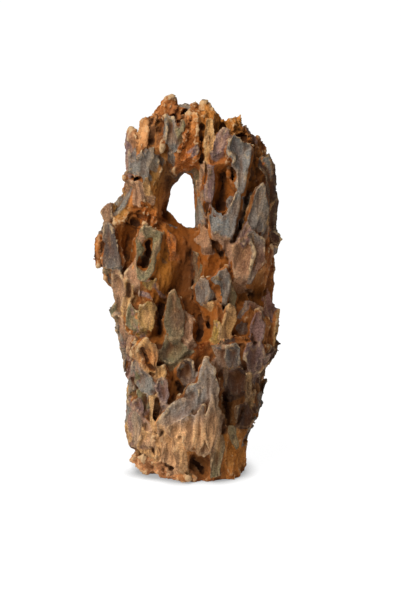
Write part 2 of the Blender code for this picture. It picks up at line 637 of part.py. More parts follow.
def limb_body():
    """The big masses of the stone: the limbs fused, hollowed, and fluted from top to bottom."""
    bm = bmesh.new()
    for rows in LIMBS:
        add_loft(bm, [section(row) for row in rows])
    bm = fused(bm, BODY_VOXEL)
    bmesh.ops.smooth_vert(bm, verts=bm.verts, factor=0.5, use_axis_x=True, use_axis_y=True, use_axis_z=True)
    bm.normal_update()
    for radius, depth, path in HOLLOWS.values():
        press(bm, radius, depth, path)
    push_out(bm, [vertex.normal * -BODY_SHRINK for vertex in bm.verts])
    moves = []
    for vertex in bm.verts:
        at = Vector((vertex.co.x / FLUTE_WIDTH, vertex.co.y / FLUTE_WIDTH, vertex.co.z / FLUTE_HEIGHT))
        moves.append(vertex.normal * noise.fractal(at, 0.9, 2.0, 3) * FLUTE_DEPTH)
    push_out(bm, moves)
    return fused(bm, BODY_VOXEL)


def warp(bm):
    """Shift the skin sideways by smooth noise, so that straight rims turn irregular."""
    noise.seed_set(WARP_SEED)
    moves = []
    for vertex in bm.verts:
        at = Vector((vertex.co.x, vertex.co.y, vertex.co.z / 1.6)) / WARP_SIZE
        moves.append(noise.noise_vector(at) * WARP_REACH)
    push_out(bm, moves)


def plate_shares(bm, plate_tree):
    """How strongly each vertex weathers: fully on the body, a little on the harder plates."""
    shares = []
    for vertex in bm.verts:
        near = plate_tree.find_nearest(vertex.co, PLATE_SKIN)
        shares.append(1.0 if near[0] is None else PLATE_CALM)
    return shares


def crumble(bm, shares):
    """Weather the skin with lumps and upright grooves."""
    moves = []
    for vertex, share in zip(bm.verts, shares):
        lumps = noise.fractal(vertex.co / CRUMBLE_SIZE, 0.7, 2.2, 3)
        at = Vector((vertex.co.x / GROOVE_WIDTH, vertex.co.y / GROOVE_WIDTH, vertex.co.z / GROOVE_HEIGHT))
        grooves = noise.fractal(at, 0.9, 2.0, 2)
        moves.append(vertex.normal * (lumps * CRUMBLE_DEPTH * share + grooves * GROOVE_DEPTH))
    push_out(bm, moves)


def sharpen(bm):
    """Push the skin away from a smoothed copy of itself, which makes rims and clefts stand out."""
    calm = bm.copy()
    for _ in range(SHARPEN_ROUNDS):
        bmesh.ops.smooth_vert(calm, verts=calm.verts, factor=0.7, use_axis_x=True, use_axis_y=True,
                              use_axis_z=True)
    moves = []
    for vertex, smooth in zip(bm.verts, calm.verts):
        push = (vertex.co - smooth.co) * SHARPEN_GAIN
        moves.append(push * min(1.0, SHARPEN_LIMIT / max(push.length, 1e-6)))
    calm.free()
    push_out(bm, moves)


def keep_largest(bm):
    """Drop loose crumbs and sealed bubbles, and keep the one big skin."""
    waiting = set(bm.verts)
    largest = []
    while waiting:
        front = [waiting.pop()]
        island = []
        while front:
            vertex = front.pop()
            island.append(vertex)
            for edge in vertex.link_edges:
                other = edge.other_vert(vertex)
                if other in waiting:
                    waiting.remove(other)
                    front.append(other)
        if len(island) > len(largest):
            largest = island
    kept = set(largest)
    bmesh.ops.delete(bm, geom=[vertex for vertex in bm.verts if vertex not in kept], context="VERTS")


def base_cutter():
    """A block whose top face is the plane that the stone stands on."""
    bm = bmesh.new()
    bmesh.ops.create_cube(bm, size=400)
    bmesh.ops.translate(bm, vec=(0, 0, -200), verts=bm.verts)
    return bm


def stone_mesh():
    """The whole stone, in millimetres: body, plates, hole, weathering, facets and flat base."""
    body = limb_body()
    tree = BVHTree.FromBMesh(body)
    plates = bmesh.new()
    front_plates(plates, tree)
    side_plates(plates, tree)
    plate_tree = BVHTree.FromBMesh(plates)
    plate_mesh = bpy.data.meshes.new("plates")
    plates.to_mesh(plate_mesh)
    plates.free()
    body.from_mesh(plate_mesh)
    bpy.data.meshes.remove(plate_mesh)
    skin = without(fused(body, SKIN_VOXEL), hole_cutter())
    skin = fused(skin, SKIN_VOXEL)
    shares = plate_shares(skin, plate_tree)
    for radius, depth, path in CHANNELS:
        press(skin, radius, depth, path)
    warp(skin)
    crumble(skin, shares)
    sharpen(skin)
    skin = fused(skin, SKIN_VOXEL)
    keep_largest(skin)
    bmesh.ops.triangulate(skin, faces=skin.faces)
    skin = with_modifier(skin, "DECIMATE", ratio=FACET_COUNT / len(skin.faces))
    skin = without(skin, base_cutter())
    bmesh.ops.triangulate(skin, faces=skin.faces)
    return skin


def stone_material():
    """Matt, dry clay-rich rock between orange and gray."""
    material = bpy.data.materials.new("weathered_stone")
    material.use_nodes = True
    shader = material.node_tree.nodes["Principled BSDF"]
    shader.inputs["Base Color"].default_value = (0.24, 0.13, 0.07, 1.0)
    shader.inputs["Roughness"].default_value = 0.9
    shader.inputs["Metallic"].default_value = 0.0
    return material


def main():
    for thing in list(bpy.data.objects):
        bpy.data.objects.remove(thing)
    collection = bpy.data.collections.new("Dragon stone")
    bpy.context.scene.collection.children.link(collection)
    bm = stone_mesh()
    bmesh.ops.scale(bm, vec=(SCALE, SCALE, SCALE), verts=bm.verts)
    mesh = bpy.data.meshes.new("dragon_stone")
    bm.to_mesh(mesh)
    bm.free()
    mesh.materials.append(stone_material())
    collection.objects.link(bpy.data.objects.new("dragon_stone", mesh))


main()
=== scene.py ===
# %% [markdown]
# # A dragon stone for an aquarium
# Dragon stone is a soft, clay-rich rock. Water has washed the clay out between its harder plates, so the
# plates stand proud as gray shards with pale rims, in a crumbly orange-brown ground full of pits. This one
# stands upright on a flat foot and has a hole that fish swim through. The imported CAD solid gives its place
# and its size. The script grows the stone anew by the same steps at a much finer grain, and then colours it.

import json
import math
import random

import bmesh
import bpy
import numpy as np
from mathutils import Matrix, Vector, noise
from mathutils.bvhtree import BVHTree
from mathutils.kdtree import KDTree

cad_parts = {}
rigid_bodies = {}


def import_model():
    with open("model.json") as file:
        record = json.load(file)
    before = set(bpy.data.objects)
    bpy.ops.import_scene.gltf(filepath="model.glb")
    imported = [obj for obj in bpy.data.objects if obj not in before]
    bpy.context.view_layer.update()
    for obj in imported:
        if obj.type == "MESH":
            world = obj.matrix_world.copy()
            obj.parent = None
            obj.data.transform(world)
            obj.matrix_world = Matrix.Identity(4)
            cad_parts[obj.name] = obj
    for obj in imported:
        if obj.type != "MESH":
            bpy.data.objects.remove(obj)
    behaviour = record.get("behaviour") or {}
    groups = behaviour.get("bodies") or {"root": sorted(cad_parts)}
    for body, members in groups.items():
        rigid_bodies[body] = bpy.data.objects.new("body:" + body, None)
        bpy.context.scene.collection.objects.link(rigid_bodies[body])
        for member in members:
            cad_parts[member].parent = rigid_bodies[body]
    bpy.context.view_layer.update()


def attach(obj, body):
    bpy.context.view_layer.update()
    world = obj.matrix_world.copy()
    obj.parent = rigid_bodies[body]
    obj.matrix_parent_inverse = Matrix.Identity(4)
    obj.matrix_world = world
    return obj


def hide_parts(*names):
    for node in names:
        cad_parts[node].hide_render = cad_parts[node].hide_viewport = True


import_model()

# %% [markdown]
# ## Camera
# A stone is photographed for sale with a long lens, a little from above, so that its upright edges stay
# upright. A lens close to 150 mm at 1.6 m does the same. The camera looks along +Y and down by 14 degrees,
# and an Empty isn't needed: a direction turned into a rotation points it at the middle of the picture.

# %% Camera
VIEW_TARGET = Vector((0.0067, 0.0, 0.1122))
VIEW_DISTANCE = 1.6
VIEW_ELEVATION = math.radians(14)
LENS_MM = 149.8


def aim(thing, place, target):
    """Put a camera or a lamp in place and point it at a target."""
    thing.location = place
    thing.rotation_euler = (target - place).to_track_quat("-Z", "Y").to_euler()
    bpy.context.scene.collection.objects.link(thing)


camera = bpy.data.objects.new("camera", bpy.data.cameras.new("camera"))
camera.data.lens = LENS_MM
view_back = Vector((0.0, -math.cos(VIEW_ELEVATION), math.sin(VIEW_ELEVATION)))
aim(camera, VIEW_TARGET + view_back * VIEW_DISTANCE, VIEW_TARGET)
bpy.context.scene.camera = camera
print("camera at", [round(value, 3) for value in camera.location])

# %% [markdown]
# ## Small helpers for nodes
# A material is a tree of nodes, and a tree written out link by link is hard to read. These helpers add one
# or two nodes each and hand back the output, so that a finish reads like a formula.

# %% Node helpers
def fill(tree, socket, value):
    """Link an output to a socket, or set its constant value."""
    if isinstance(value, bpy.types.NodeSocket):
        tree.links.new(value, socket)
    else:
        socket.default_value = value


def calculate(tree, operation, first, second=0.0):
    """A Math node."""
    made = tree.nodes.new("ShaderNodeMath")
    made.operation = operation
    fill(tree, made.inputs[0], first)
    fill(tree, made.inputs[1], second)
    return made.outputs[0]


def stretch(tree, value, low, high, new_low=0.0, new_high=1.0, way="SMOOTHSTEP"):
    """A Map Range node, which also clamps."""
    made = tree.nodes.new("ShaderNodeMapRange")
    made.interpolation_type = way
    fill(tree, made.inputs["Value"], value)
    for name, limit in (("From Min", low), ("From Max", high), ("To Min", new_low), ("To Max", new_high)):
        made.inputs[name].default_value = limit
    return made.outputs[0]


def blend(tree, share, first, second, mode="MIX"):
    """A Mix node for colours."""
    made = tree.nodes.new("ShaderNodeMix")
    made.data_type = "RGBA"
    made.blend_type = mode
    for index, value in ((0, share), (6, first), (7, second)):
        fill(tree, made.inputs[index], value)
    return made.outputs[2]


def tinted(tree, color, factors):
    """A colour times constant factors for red, green and blue."""
    return blend(tree, 1.0, color, (*factors, 1.0), "MULTIPLY")


# %% [markdown]
# ## Studio
# The stone stands on a white light table that runs on as its own backdrop. The table glows for the camera
# alone, because light from below would fill the clefts, and its paint is nearly black there, so that the
# lamp can't spoil the even white. An Ambient Occlusion node finds where the stone stands close, and the glow
# is dimmed there, which leaves a faint shadow at the foot. A soft lamp high on the left in front draws the
# rims, and the even light of the room comes from the world colour. A plain grid is enough for the floor.

# %% Floor, room light and lamps
FLOOR_HALF = 4.0
FLOOR_WHITE = (0.90, 0.90, 0.90, 1.0)
TABLE_GLOW = 0.98
CONTACT_REACH = 0.012
CONTACT_SHARE = 0.62
CONTACT_AO = (0.45, 0.97)
SEEN_SHARE = 0.04
ROOM_LIGHT = 0.26
KEY_PLACE = Vector((-0.80, -0.85, 1.40))
KEY_SIZE = 1.2
KEY_WATTS = 57.0
KEY_COLOR = (1.0, 0.97, 0.93)
WHITE = (1.0, 1.0, 1.0, 1.0)

bpy.context.scene.view_settings.view_transform = "Standard"

grid = bmesh.new()
bmesh.ops.create_grid(grid, x_segments=1, y_segments=1, size=FLOOR_HALF)
floor_mesh = bpy.data.meshes.new("floor")
grid.to_mesh(floor_mesh)
grid.free()
floor_finish = bpy.data.materials.new("white table")
floor_finish.use_nodes = True
floor_tree = floor_finish.node_tree
table = floor_tree.nodes["Principled BSDF"].inputs
table["Roughness"].default_value = 0.9
table["Emission Color"].default_value = WHITE
seen = floor_tree.nodes.new("ShaderNodeLightPath").outputs["Is Camera Ray"]
openness = floor_tree.nodes.new("ShaderNodeAmbientOcclusion")
openness.inputs["Distance"].default_value = CONTACT_REACH
lift = stretch(floor_tree, openness.outputs["AO"], *CONTACT_AO, TABLE_GLOW * (1 - CONTACT_SHARE), TABLE_GLOW,
               "LINEAR")
fill(floor_tree, table["Emission Strength"], calculate(floor_tree, "MULTIPLY", seen, lift))
seen_paint = (SEEN_SHARE, SEEN_SHARE, SEEN_SHARE, 1.0)
fill(floor_tree, table["Base Color"], blend(floor_tree, seen, FLOOR_WHITE, seen_paint))
floor_mesh.materials.append(floor_finish)
floor = bpy.data.objects.new("floor", floor_mesh)
bpy.context.scene.collection.objects.link(floor)

world = bpy.data.worlds.new("room")
world.use_nodes = True
background = world.node_tree.nodes["Background"].inputs
background["Color"].default_value = WHITE
background["Strength"].default_value = ROOM_LIGHT
bpy.context.scene.world = world

key = bpy.data.objects.new("key lamp", bpy.data.lights.new("key lamp", "AREA"))
key.data.size = KEY_SIZE
key.data.energy = KEY_WATTS
key.data.color = KEY_COLOR
aim(key, KEY_PLACE, VIEW_TARGET)
print("lamp at", round((KEY_PLACE - VIEW_TARGET).length, 2), "m from the stone")

# %% [markdown]
# ## Drawings as text
# The stone is drawn in numbers: outlines, paths and stains, in millimetres. They are kept as tables of text,
# one row for each part of the drawing, because nested brackets would take twice the room. A semicolon ends a
# row, colons part it, and commas stand between groups of numbers. Two small functions read them.

# %% Read a drawing
def rows_of(text):
    """The rows of a table, each as the list of its parts."""
    return [[part.strip() for part in row.split(":")] for row in text.split(";") if row.strip()]


def groups(text):
    """The groups of numbers in a part of a row."""
    return [tuple(float(word) for word in group.split()) for group in text.split(",")]


# %% [markdown]
# ## The big masses
# The stone is a thick slab: a belly, a shoulder on the left, two towers that an arch joins above the hole,
# and a web that thickens the corner behind the hole's upper left rim. Each mass is a stack of outlines, and
# an outline is four quarter arcs between its left, front, right and back. create_circle makes the rings,
# bridge_loops joins them, and a voxel remesh melts the overlapping masses to one skin. Sculpting would do
# the same by hand, but named rows can be read and changed.

# %% Limb outlines
MM = 0.001
FULLNESS = 2.4
ARC_STEPS = 7

# Height, left x, right x, left y, right y, front x, front y, back y
LIMBS = rows_of("""
belly:
    -8 -29 36 4 -2 9 -30 29, 3 -31 37 4 -2 9 -30 30, 14 -40 36 4 -2 9 -29 29,
    26 -41 38 4 -2 10 -29 28, 40 -43 47 4 0 11 -28 28, 54 -42 48 4 0 12 -27 27,
    66 -41 46 4 0 13 -26 27, 80 -45 55 4 1 14 -26 27, 96 -47 56 5 1 15 -25 27,
    112 -49 54 6 2 15 -24 27, 126 -48 53 6 2 15 -23 26, 140 -46 53 7 2 15 -22 26,
    150 -40 50 7 2 15 -21 25, 158 -30 44 7 2 14 -18 22, 162 -14 30 7 2 10 -12 16;
shoulder:
    122 -47 -30 8 8 -40 -6 20, 131 -56 -28 8 8 -42 -8 22, 142 -59 -26 9 9 -44 -9 23,
    154 -57 -26 9 9 -44 -9 23, 166 -56 -28 9 9 -44 -7 22, 172 -54 -30 9 9 -45 -5 20,
    176 -48 -34 9 9 -44 0 16;
left tower:
    138 -42 -12 8 4 -26 -14 24, 155 -42 -12 8 4 -26 -13 24, 166 -39 -14 8 4 -26 -11 24,
    180 -36 -15 8 4 -26 -9 23, 192 -38 -13 8 4 -25 -9 23, 205 -38 -9 8 4 -24 -9 22,
    215 -38 -5 8 4 -23 -10 21, 222 -35 -6 8 4 -21 -10 18, 229 -26 -9 6 4 -18 -9 15,
    236 -22 -11 5 4 -16 -7 11, 242 -19 -13 4 4 -16 -4 7;
right tower:
    140 4 54 0 2 18 -22 26, 155 5 54 0 2 18 -21 26, 166 6 53 0 2 18 -20 26, 180 5 54 0 2 18 -20 25,
    192 4 52 0 2 18 -20 23, 203 3 49 0 3 18 -19 20, 211 2 45 0 4 18 -18 17, 218 2 38 0 4 17 -17 15,
    223 4 34 0 4 18 -14 12;
arch:
    198 -7 7 3 1 0 -12 16, 206 -13 12 3 1 0 -15 17, 216 -15 14 3 1 0 -16 17,
    225 -16 17 3 1 2 -15 15, 232 -14 15 3 1 2 -12 11, 236 -9 13 3 2 2 -7 7;
right peak:
    222 4 18 0 0 11 -13 11, 231 7 16 0 0 11 -10 7, 237 9 14 0 0 11 -6 4;
top knob:
    216 20 38 2 2 27 -14 12, 225 21 34 2 2 27 -11 10, 230 24 33 2 2 28 -6 7;
corner behind the hole's rim:
    174 -24 -12 5 5 -18 -3 12, 182 -24 -8 5 5 -16 -3 13, 190 -24 0 5 5 -12 -3 13,
    200 -22 8 5 5 -8 -4 13, 206 -16 10 5 5 -4 -5 13;
""")


# %% Loft a stack of outlines
def section(row):
    """The closed outline of a limb at one height, as four arcs between its left, front, right and back."""
    height, left, right, left_y, right_y, front_x, front_y, back_y = row
    back_x = (left + right) / 2
    corners = [(left, left_y), (front_x, front_y), (right, right_y), (back_x, back_y)]
    middles = [(front_x, left_y), (front_x, right_y), (back_x, right_y), (back_x, left_y)]
    power = 2 / FULLNESS
    points = []
    for index, middle in enumerate(middles):
        start = corners[index]
        end = corners[(index + 1) % 4]
        for step in range(ARC_STEPS):
            angle = math.pi / 2 * step / ARC_STEPS
            away = math.cos(angle) ** power
            ahead = math.sin(angle) ** power
            x = middle[0] + (start[0] - middle[0]) * away + (end[0] - middle[0]) * ahead
            y = middle[1] + (start[1] - middle[1]) * away + (end[1] - middle[1]) * ahead
            points.append(Vector((x, y, height)))
    return points


def ring_edges(ring):
    """The edges that join the vertices of one ring."""
    chosen = set(ring)
    return list({edge for vertex in ring for edge in vertex.link_edges if edge.other_vert(vertex) in chosen})


def add_loft(bm, outlines):
    """Bridge a stack of outlines with equal point counts, and close both ends."""
    rings = []
    for outline in outlines:
        made = bmesh.ops.create_circle(bm, segments=len(outline), radius=1.0)
        for vertex, point in zip(made["verts"], outline):
            vertex.co = point
        rings.append(made["verts"])
    for near, far in zip(rings, rings[1:]):
        bmesh.ops.bridge_loops(bm, edges=ring_edges(near) + ring_edges(far))
    for ring in (rings[0], rings[-1]):
        bmesh.ops.contextual_create(bm, geom=ring_edges(ring))
    bmesh.ops.recalc_face_normals(bm, faces=bm.faces)


# %% [markdown]
# ## Melting masses together
# Where two closed masses overlap, their inner walls have to go. A Boolean union keeps the sharp line where
# they meet, while a voxel remesh gives one even skin of small quads, which later steps can push about. A
# modifier needs an object, so a helper makes one for a moment and hands back the evaluated mesh.

# %% Remesh and Boolean on a bmesh
BODY_VOXEL = 2.0


def as_mesh(bm, name):
    """Turn a bmesh into mesh data, and free it."""
    mesh = bpy.data.meshes.new(name)
    bm.to_mesh(mesh)
    bm.free()
    return mesh


def with_modifier(bm, kind, **values):
    """Give a bmesh one modifier, and return the evaluated result as a new bmesh."""
    holder = bpy.data.objects.new("work", as_mesh(bm, "work"))
    bpy.context.scene.collection.objects.link(holder)
    modifier = holder.modifiers.new(kind.title(), kind)
    for name, value in values.items():
        setattr(modifier, name, value)
    result = bmesh.new()
    result.from_mesh(holder.evaluated_get(bpy.context.evaluated_depsgraph_get()).to_mesh())
    mesh = holder.data
    bpy.data.objects.remove(holder)
    bpy.data.meshes.remove(mesh)
    result.normal_update()
    return result


def fused(bm, voxel):
    """Melt every overlapping mass of a bmesh to one skin of even quads."""
    return with_modifier(bm, "REMESH", mode="VOXEL", voxel_size=voxel)


def without(bm, cutter):
    """Cut one closed bmesh out of another."""
    tool = bpy.data.objects.new("cutter", as_mesh(cutter, "cutter"))
    bpy.context.scene.collection.objects.link(tool)
    result = with_modifier(bm, "BOOLEAN", operation="DIFFERENCE", object=tool, solver="EXACT")
    mesh = tool.data
    bpy.data.objects.remove(tool)
    bpy.data.meshes.remove(mesh)
    return result


def relaxed(bm, rounds, factor):
    """Smooth a bmesh in place."""
    for _ in range(rounds):
        bmesh.ops.smooth_vert(bm, verts=bm.verts, factor=factor, use_axis_x=True, use_axis_y=True,
                              use_axis_z=True)
    bm.normal_update()
    return bm


limbs = bmesh.new()
for name, rows in LIMBS:
    add_loft(limbs, [section(row) for row in groups(rows)])
body = relaxed(fused(limbs, BODY_VOXEL), 1, 0.5)
original_tree = BVHTree.FromBMesh(body)
print("big masses:", len(body.faces), "quads")

# %% [markdown]
# ## Drawing on a sheet
# Everything on the front is drawn on an upright sheet just before the stone, in millimetres across and up.
# A point of the sheet is carried back along a line that drops 1 in 4, which is how the camera looks down.
# So an outline that is read off the sheet lands on the right plate however deep that plate lies.

# %% The sheet
SHEET_Y = -30.0
SIGHT_DROP = 0.25


def from_sheet(x, height, y):
    """A point of the sheet, carried back to depth y."""
    return Vector((x, y, height - (y - SHEET_Y) * SIGHT_DROP))


def sheet_height(place):
    """The height at which a point of the stone is drawn on the sheet."""
    return place.z + (place.y - SHEET_Y) * SIGHT_DROP


def path_gap(x, height, path):
    """How far a point of the sheet lies from a path on it."""
    point = Vector((x, height))
    gaps = []
    for first, last in zip(path, path[1:]):
        start = Vector(first)
        along = Vector(last) - start
        share = min(1.0, max(0.0, (point - start).dot(along) / along.length_squared))
        gaps.append((point - start - along * share).length)
    return min(gaps)


# %% [markdown]
# ## Hollows
# Water has dug deepest under the hole, between the plates and in the caves on the right. Each hollow is a
# path with a radius and a depth. The vertices near it are pushed back, most along its middle, and noise
# makes its edge ragged. A round cutter would leave clean walls that weathered clay doesn't have.

# %% Hollows and clefts
def dents_of(text):
    """Radius, depth and path on the sheet of each row of a table."""
    return [(*groups(size)[0], groups(path)) for *name, size, path in rows_of(text)]


# Name: radius, depth: path on the sheet
HOLLOWS = dents_of("""
valley under the hole: 18 13: -4 164, -5 140, -4 118; rust hollow by the ring: 8 6: -39 160, -38 148;
slot beside the yellow plate: 6 4: -20 122, -19 96; upper right channel: 6.5 5: 21 202, 19 182;
long right channel: 6 5: 36 192, 31 168, 27 157; hollow under the fork: 9 6: 12 152, 23 143;
right cave: 11 7: 33 124, 48 120; hollow over the shelf: 8 5: 27 104, 38 100;
column hollow: 6 4: 12 112, 10 98; umber hollow: 8 4: 27 72, 28 60;
lower right channel: 7 6: 22 54, 22 34; dark right zone: 9 4: 38 52, 38 36;
hollow left of the great plate: 6 4: -8 68, -4 58; base cave: 6 6: 3 14, 8 8;
foot of the valley: 6 4: 5 128, 7 100;
""")

# Narrow clefts between the plates, without names
CHANNELS = dents_of("""
2.2 5: -3 241, -7 233; 1.5 5: 7 232, 7 208; 2.5 4: -24 237, -24 222; 1.4 3: -36 200, -32 199;
1.7 3.5: -36 171, -31 168; 4 9: -27 157, -26 150, -29 143; 1.8 3.5: 1 152, 2 122; 3 4.5: 21 201, 19 180;
2.4 8: 25 206, 27 202, 27 198; 2.4 4: 39 226, 40 210, 38 198; 1.4 3: 10 206, 9 196;
2.4 4: 31 171, 33 167; 2.4 2.5: 36 190, 31 168, 27 158; 3.2 5: 15 158, 20 151; 2.6 5: 11 182, 12 176;
3 5: 37 126, 39 124; 2.4 4: 12 107, 13 103; 2.4 3: 7 108, 6 94; 2.2 3: 21 117, 23 113;
2.2 4: 40 93, 41 92; 2.2 3: -39 130, -39 123; 4 5: -19 114, -19 97; 1.3 4: -38 79, -41 69;
1.3 3: -37 68, -34 62; 1.8 2.5: -30 88, -27 80; 2 4: -27 78, -23 75; 1 3: -28 56, -29 48;
0.9 2.5: -19 52, -21 44; 3 4: -8 66, -4 58; 3.4 3: 2 14, 7 9; 3 5: 21 57, 22 55; 3.4 5: 22 52, 22 34;
1.6 4: 34 49, 30 38; 1.6 3: 38 33, 35 27; 2 4: -16 12, -12 9; 1.2 3: -24 22, -23 18;
1.2 3: -19 22, -19 17; 1.3 3: -17 34, -19 30; 2 3: -56 157, -56 144;
""")
PRESS_REACH = 1.5
RAGGED_SHARE = 0.35
RAGGED_SIZE = 1.3
FRONT_FACING = -0.1
SLOPE_GAIN = 2
NOTE_GAIN = 3


# %% Press the hollows
def push_out(bm, moves):
    """Move each vertex by its own step, and refresh the normals."""
    for vertex, move in zip(bm.verts, moves):
        vertex.co += move
    bm.normal_update()


def press(bm, radius, depth, path, layer=None):
    """Press a path into the front of the stone, deepest along its middle, and note in a layer how deep."""
    reach = radius * PRESS_REACH
    low_x = min(x for x, height in path) - reach
    high_x = max(x for x, height in path) + reach
    low = min(height for x, height in path) - reach
    high = max(height for x, height in path) + reach
    for vertex in bm.verts:
        if vertex.normal.y > FRONT_FACING or not low_x < vertex.co.x < high_x:
            continue
        drawn = sheet_height(vertex.co)
        if not low < drawn < high:
            continue
        ragged = radius * RAGGED_SHARE * noise.fractal(vertex.co / (radius * RAGGED_SIZE), 0.8, 2.0, 2)
        gap = max(0.0, path_gap(vertex.co.x, drawn, path) + ragged)
        if gap < radius:
            fall = 1 - (gap / radius) ** 2
            push = depth * fall * fall * min(1.0, -vertex.normal.y * SLOPE_GAIN)
            vertex.co += Vector((0, push, -push * SIGHT_DROP))
            if layer is not None:
                vertex[layer] = max(vertex[layer], fall * min(1.0, -vertex.normal.y * NOTE_GAIN))
    bm.normal_update()


for radius, depth, path in HOLLOWS:
    press(body, radius, depth, path)
print("pressed", len(HOLLOWS), "hollows")

# %% [markdown]
# ## Flutes
# The layers of this rock stand on end, so the water left upright ribs and troughs all round. Noise gives
# them: its coordinates are divided by a small width across and by a large height along Z, which stretches
# every lump of it upwards. The body first shrinks a little, because the plates will bring it out again.

# %% Shrink and flute the body
BODY_SHRINK = 2.2
FLUTE_DEPTH = 2.2
FLUTE_WIDTH = 9.0
FLUTE_HEIGHT = 26.0
LAYER_LEAN = 0.2


def upright(place, width, height):
    """Noise coordinates whose lumps are as wide and as tall as asked, and lean with the layers."""
    return Vector(((place.x - LAYER_LEAN * place.z) / width, place.y / width, place.z / height))


push_out(body, [vertex.normal * -BODY_SHRINK for vertex in body.verts])
flutes = [noise.fractal(upright(vertex.co, FLUTE_WIDTH, FLUTE_HEIGHT), 0.9, 2.0, 3) for vertex in body.verts]
push_out(body, [vertex.normal * flute * FLUTE_DEPTH for vertex, flute in zip(body.verts, flutes)])
body = fused(body, BODY_VOXEL)
body_tree = BVHTree.FromBMesh(body)
print("fluted body:", len(body.faces), "quads")

# %% [markdown]
# ## Laying one plate
# A plate is a shard of harder rock. Its outline is carried back on to a plane fitted to the body behind it,
# and follows the body a little where it bulges. extrude_face_region gives it thickness, and its foot is
# spread out and down, so that it stands on sloping flanks with a steep drop behind its upper end. Then
# inset_region turns the rim over to a narrow bevel, and poke sinks the middle to a scoop, or raises it where
# the dish is below zero.

# %% Find the depth of a plate
SHEET_TO_MIDDLE = 34.0
PLATE_ROOT = 6.0
PLATE_FLARE = 5.0
PLATE_SAG = 4.0
PLATE_TILT = 0.15
PLATE_SCOOP = 0.17
SCOOP_RISE = 0.10
PLATE_RIM = 1.2
RIM_SHARE = 0.12
RIM_DROP = 0.8
PAST_RIM = 2
FOOT_SINK = 2
STEEPEST = (2.0, 1.0)
FOLLOW = 2.0
FEWEST_HITS = 4
# How far before its sheet the ray starts that finds a plate's depth
RAY_START = 80


def fit_depth(samples):
    """The slopes and the offset of the plane that lies closest to samples of across, height and depth."""
    points = np.array(samples)
    mean = points.mean(axis=0)
    gaps = points - mean
    xx, yy = (gaps[:, :2] ** 2).sum(axis=0) + 1e-6
    xy = (gaps[:, 0] * gaps[:, 1]).sum()
    xz = (gaps[:, 0] * gaps[:, 2]).sum()
    yz = (gaps[:, 1] * gaps[:, 2]).sum()
    det = xx * yy - xy * xy
    across_slope = max(-STEEPEST[0], min(STEEPEST[0], (xz * yy - yz * xy) / det))
    height_slope = max(-STEEPEST[1], min(STEEPEST[1], (yz * xx - xz * xy) / det))
    return across_slope, height_slope, mean[2] - across_slope * mean[0] - height_slope * mean[1]


def probe_depths(sheet, points, rim_depth):
    """Depths of the body behind points of a sheet, or of its nearest rim where the sheet looks past it."""
    origin, right, into = sheet
    found = []
    for across, height in points:
        start = origin + right * across + Vector((0, 0, height))
        hit = body_tree.ray_cast(start - into * RAY_START, into)[0]
        if hit is not None:
            found.append((across, height, (hit - start).dot(into)))
    if len(found) >= FEWEST_HITS:
        return found
    if not rim_depth:
        return []
    found = []
    for across, height in points:
        start = origin + right * across + Vector((0, 0, height))
        near = body_tree.find_nearest(start + into * rim_depth)[0]
        found.append((across, height, (near - start).dot(into) - PAST_RIM))
    return found


# %% Lay one plate
def lay_plate(bm, sheet, proud, lean, dish, outline, rim_depth=0.0):
    """Lay one plate on the body."""
    origin, right, into = sheet
    middle_x = sum(x for x, height in outline) / len(outline)
    middle_h = sum(height for x, height in outline) / len(outline)
    halfway = [((x + middle_x) / 2, (height + middle_h) / 2) for x, height in outline]
    samples = probe_depths(sheet, outline + halfway + [(middle_x, middle_h)], rim_depth)
    if not samples:
        return
    across_slope, height_slope, offset = fit_depth(samples)
    heights = [height for x, height in outline]
    half_height = max(1.0, (max(heights) - min(heights)) / 2)
    centre_height = (max(heights) + min(heights)) / 2
    ring = []
    for across, height in outline:
        start = origin + right * across + Vector((0, 0, height))
        flat = across_slope * across + height_slope * height + offset
        depth = flat
        hit = body_tree.ray_cast(start - into * RAY_START, into)[0]
        if hit is not None:
            depth += max(-FOLLOW, min(FOLLOW, ((hit - start).dot(into) - flat) / 2))
        depth -= proud + (PLATE_TILT - lean / half_height) * (height - centre_height)
        ring.append(bm.verts.new(start + into * depth))
    back = bm.faces.new(ring)
    back.normal_update()
    if back.normal.dot(into) > 0:
        back.normal_flip()
    middle = back.calc_center_median()
    made = bmesh.ops.extrude_face_region(bm, geom=[back])
    for vertex in ring:
        outwards = (vertex.co - middle).normalized()
        foot = vertex.co + into * (proud + PLATE_ROOT) + outwards * PLATE_FLARE - Vector((0, 0, PLATE_SAG))
        near, normal, index, gap = body_tree.find_nearest(foot)
        vertex.co = near - normal * FOOT_SINK if (foot - near).dot(normal) > 0 else foot
    front = [item for item in made["geom"] if isinstance(item, bmesh.types.BMFace)][0]
    edge = list(front.verts)
    rim = min(PLATE_RIM, RIM_SHARE * math.sqrt(front.calc_area()))
    bmesh.ops.inset_region(bm, faces=[front], thickness=rim, depth=0.0, use_even_offset=True)
    for vertex in edge:
        vertex.co += into * rim * RIM_DROP
    sunk = (PLATE_SCOOP * math.sqrt(front.calc_area()) + dish) if dish >= 0 else dish
    for vertex in bmesh.ops.poke(bm, faces=[front])["verts"]:
        vertex.co += Vector((0, 0, SCOOP_RISE * 2 * half_height)) + into * sunk


# %% [markdown]
# ## The front plates
# Each plate on the front is its own row: the finish of its rock, how far it stands proud, how far its foot
# leans out, how deep it is dished, and its outline on the sheet. Scattering them at random would be quicker,
# but this stone is known by these very shards. The left tower and the arch carry narrow gray ones between
# crumbly knobs of clay.

